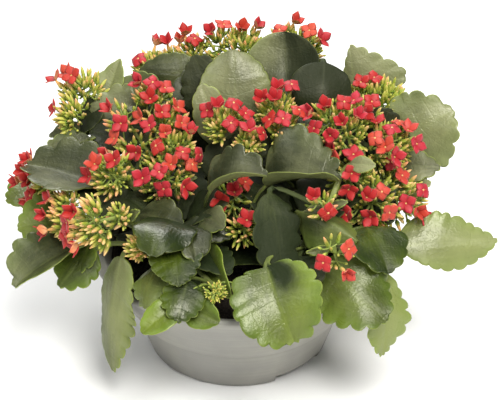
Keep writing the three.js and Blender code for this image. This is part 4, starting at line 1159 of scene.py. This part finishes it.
def growForks(head, shape, draw):  # short stalks that fan out from a fork, and where they end
    ends, lines = [], []
    count = max(3, round(budSizes["forks"] * min(1, head.full)))
    for direction in spread(shape.axis, count, budSizes["forkWidest"]):
        direction = jittered(direction, 0.12, draw)
        end = shape.fork + direction * shape.reach * budSizes["near"] * draw.uniform(0.85, 1.15)
        rising = shape.fork + shape.axis * shape.reach * 0.15
        ends.append(end)
        lines.append(twig("fork", shape.fork, rising, end - direction * 2, end))
    return ends, lines


def growFlorets(head, shape, ends, draw):
    florets, lines = [], []
    *chances, last = floretSizes["chances"]
    for place, facing in bloomSpots(shape):
        facing = jittered(facing - shape.axis * 0.12 + point((0, -0.14, 0.2)), 0.36, draw)
        label = draw.choices(list(floretSizes["opening"]), [*chances, last + head.shy])[0]
        size = draw.uniform(*floretSizes["sizes"])
        pink = min(1, max(0, head.pink + draw.uniform(-0.35, 0.4)))
        florets.append((place, facing, size, sorts[label], (pink, 0, draw.random())))
        base = place - facing * floretSizes["tube"] * size
        near = min(ends, key=lambda end: norm(end - base))
        lines.append(twig("bloom", near, near + (base - near) * 0.4, base - facing * 2, base))
    return florets, lines


def growBuds(head, shape, ends, draw):
    buds, lines, axis, reach = [], [], shape.axis, shape.reach
    blooms = [place for other in head.cymes for place, _ in bloomSpots(other)]
    others = [other.fork for other in head.cymes if other is not shape]
    count = round(budSizes["count"] * (reach / 24) ** 1.3 * head.full * shape.full)
    for order, direction in enumerate(spread(axis, count, budSizes["widest"])):
        direction = jittered(direction, 0.13, draw)
        small = draw.random() < 0.15 + 0.5 * (order / count) ** 2
        size = draw.uniform(*budSizes["youngSizes" if small else "sizes"])
        top = shape.fork + direction * reach * head.tight * draw.uniform(0.68, 0.9 if small else 1.02)
        covered = any(norm(top - bloom) < budSizes["clear"] for bloom in blooms)
        if covered or any(norm(top - other) < 0.75 * reach for other in others):
            continue
        near = min(ends, key=lambda end: norm(end - top))
        aim = jittered(unit(top - near) * 0.6 + direction * 0.5 + axis * 0.35 + up(0.3), 0.2, draw)
        base = top - aim * budSizes["long"] * size * (0.58 if small else 1)
        size *= head.big
        ripe = 0 if small else min(1, max(0, head.ripe + draw.uniform(-0.5, 0.4))) * size
        buds.append((base, aim, size, sorts["young" if small else "bud"], (0, ripe, draw.random())))
        lines.append(twig("bud", near, near + (base - near) * 0.4, base - aim * 1.5, base))
    return buds, lines


def makeHead(name, head):
    draw = random.Random(sum(map(ord, name)) + 3)
    florets, buds, root, axis = [], [], head.cymes[0].fork, head.cymes[0].axis
    foot = stalkEnd(head) + axis * stalkSizes["gap"]
    lines = [twig("neck", foot, foot + axis * 3, root - axis * 3, root)]
    for shape in head.cymes:
        if shape is not head.cymes[0]:
            bow = root + (shape.fork - root) * 0.5 - shape.axis * 4
            lines.append(twig("branch", root, bow, bow, shape.fork))
        ends, forks = growForks(head, shape, draw)
        opened, floretStalks = growFlorets(head, shape, ends, draw)
        closed, budStalks = growBuds(head, shape, ends, draw)
        florets += opened
        buds += closed
        lines += forks + floretStalks + budStalks
    parts = [growTubes("stalks_" + name, lines, 6)]
    if florets:
        parts.append(setOut("florets_" + name, florets, petalFinish, 5))
    parts.append(setOut("buds_" + name, buds, budFinish, 9))
    piece = joined("flowers_" + name, parts)
    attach(piece, "root")
    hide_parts(name)
    return len(florets), len(buds)


bloomTotal = budTotal = 0
for headName, headPlan in heads.items():
    made = makeHead(headName, headPlan)
    bloomTotal += made[0]
    budTotal += made[1]
for prototype in prototypes.values():
    bpy.data.objects.remove(prototype)
print("flower heads:", bloomTotal, "florets and", budTotal, "buds")
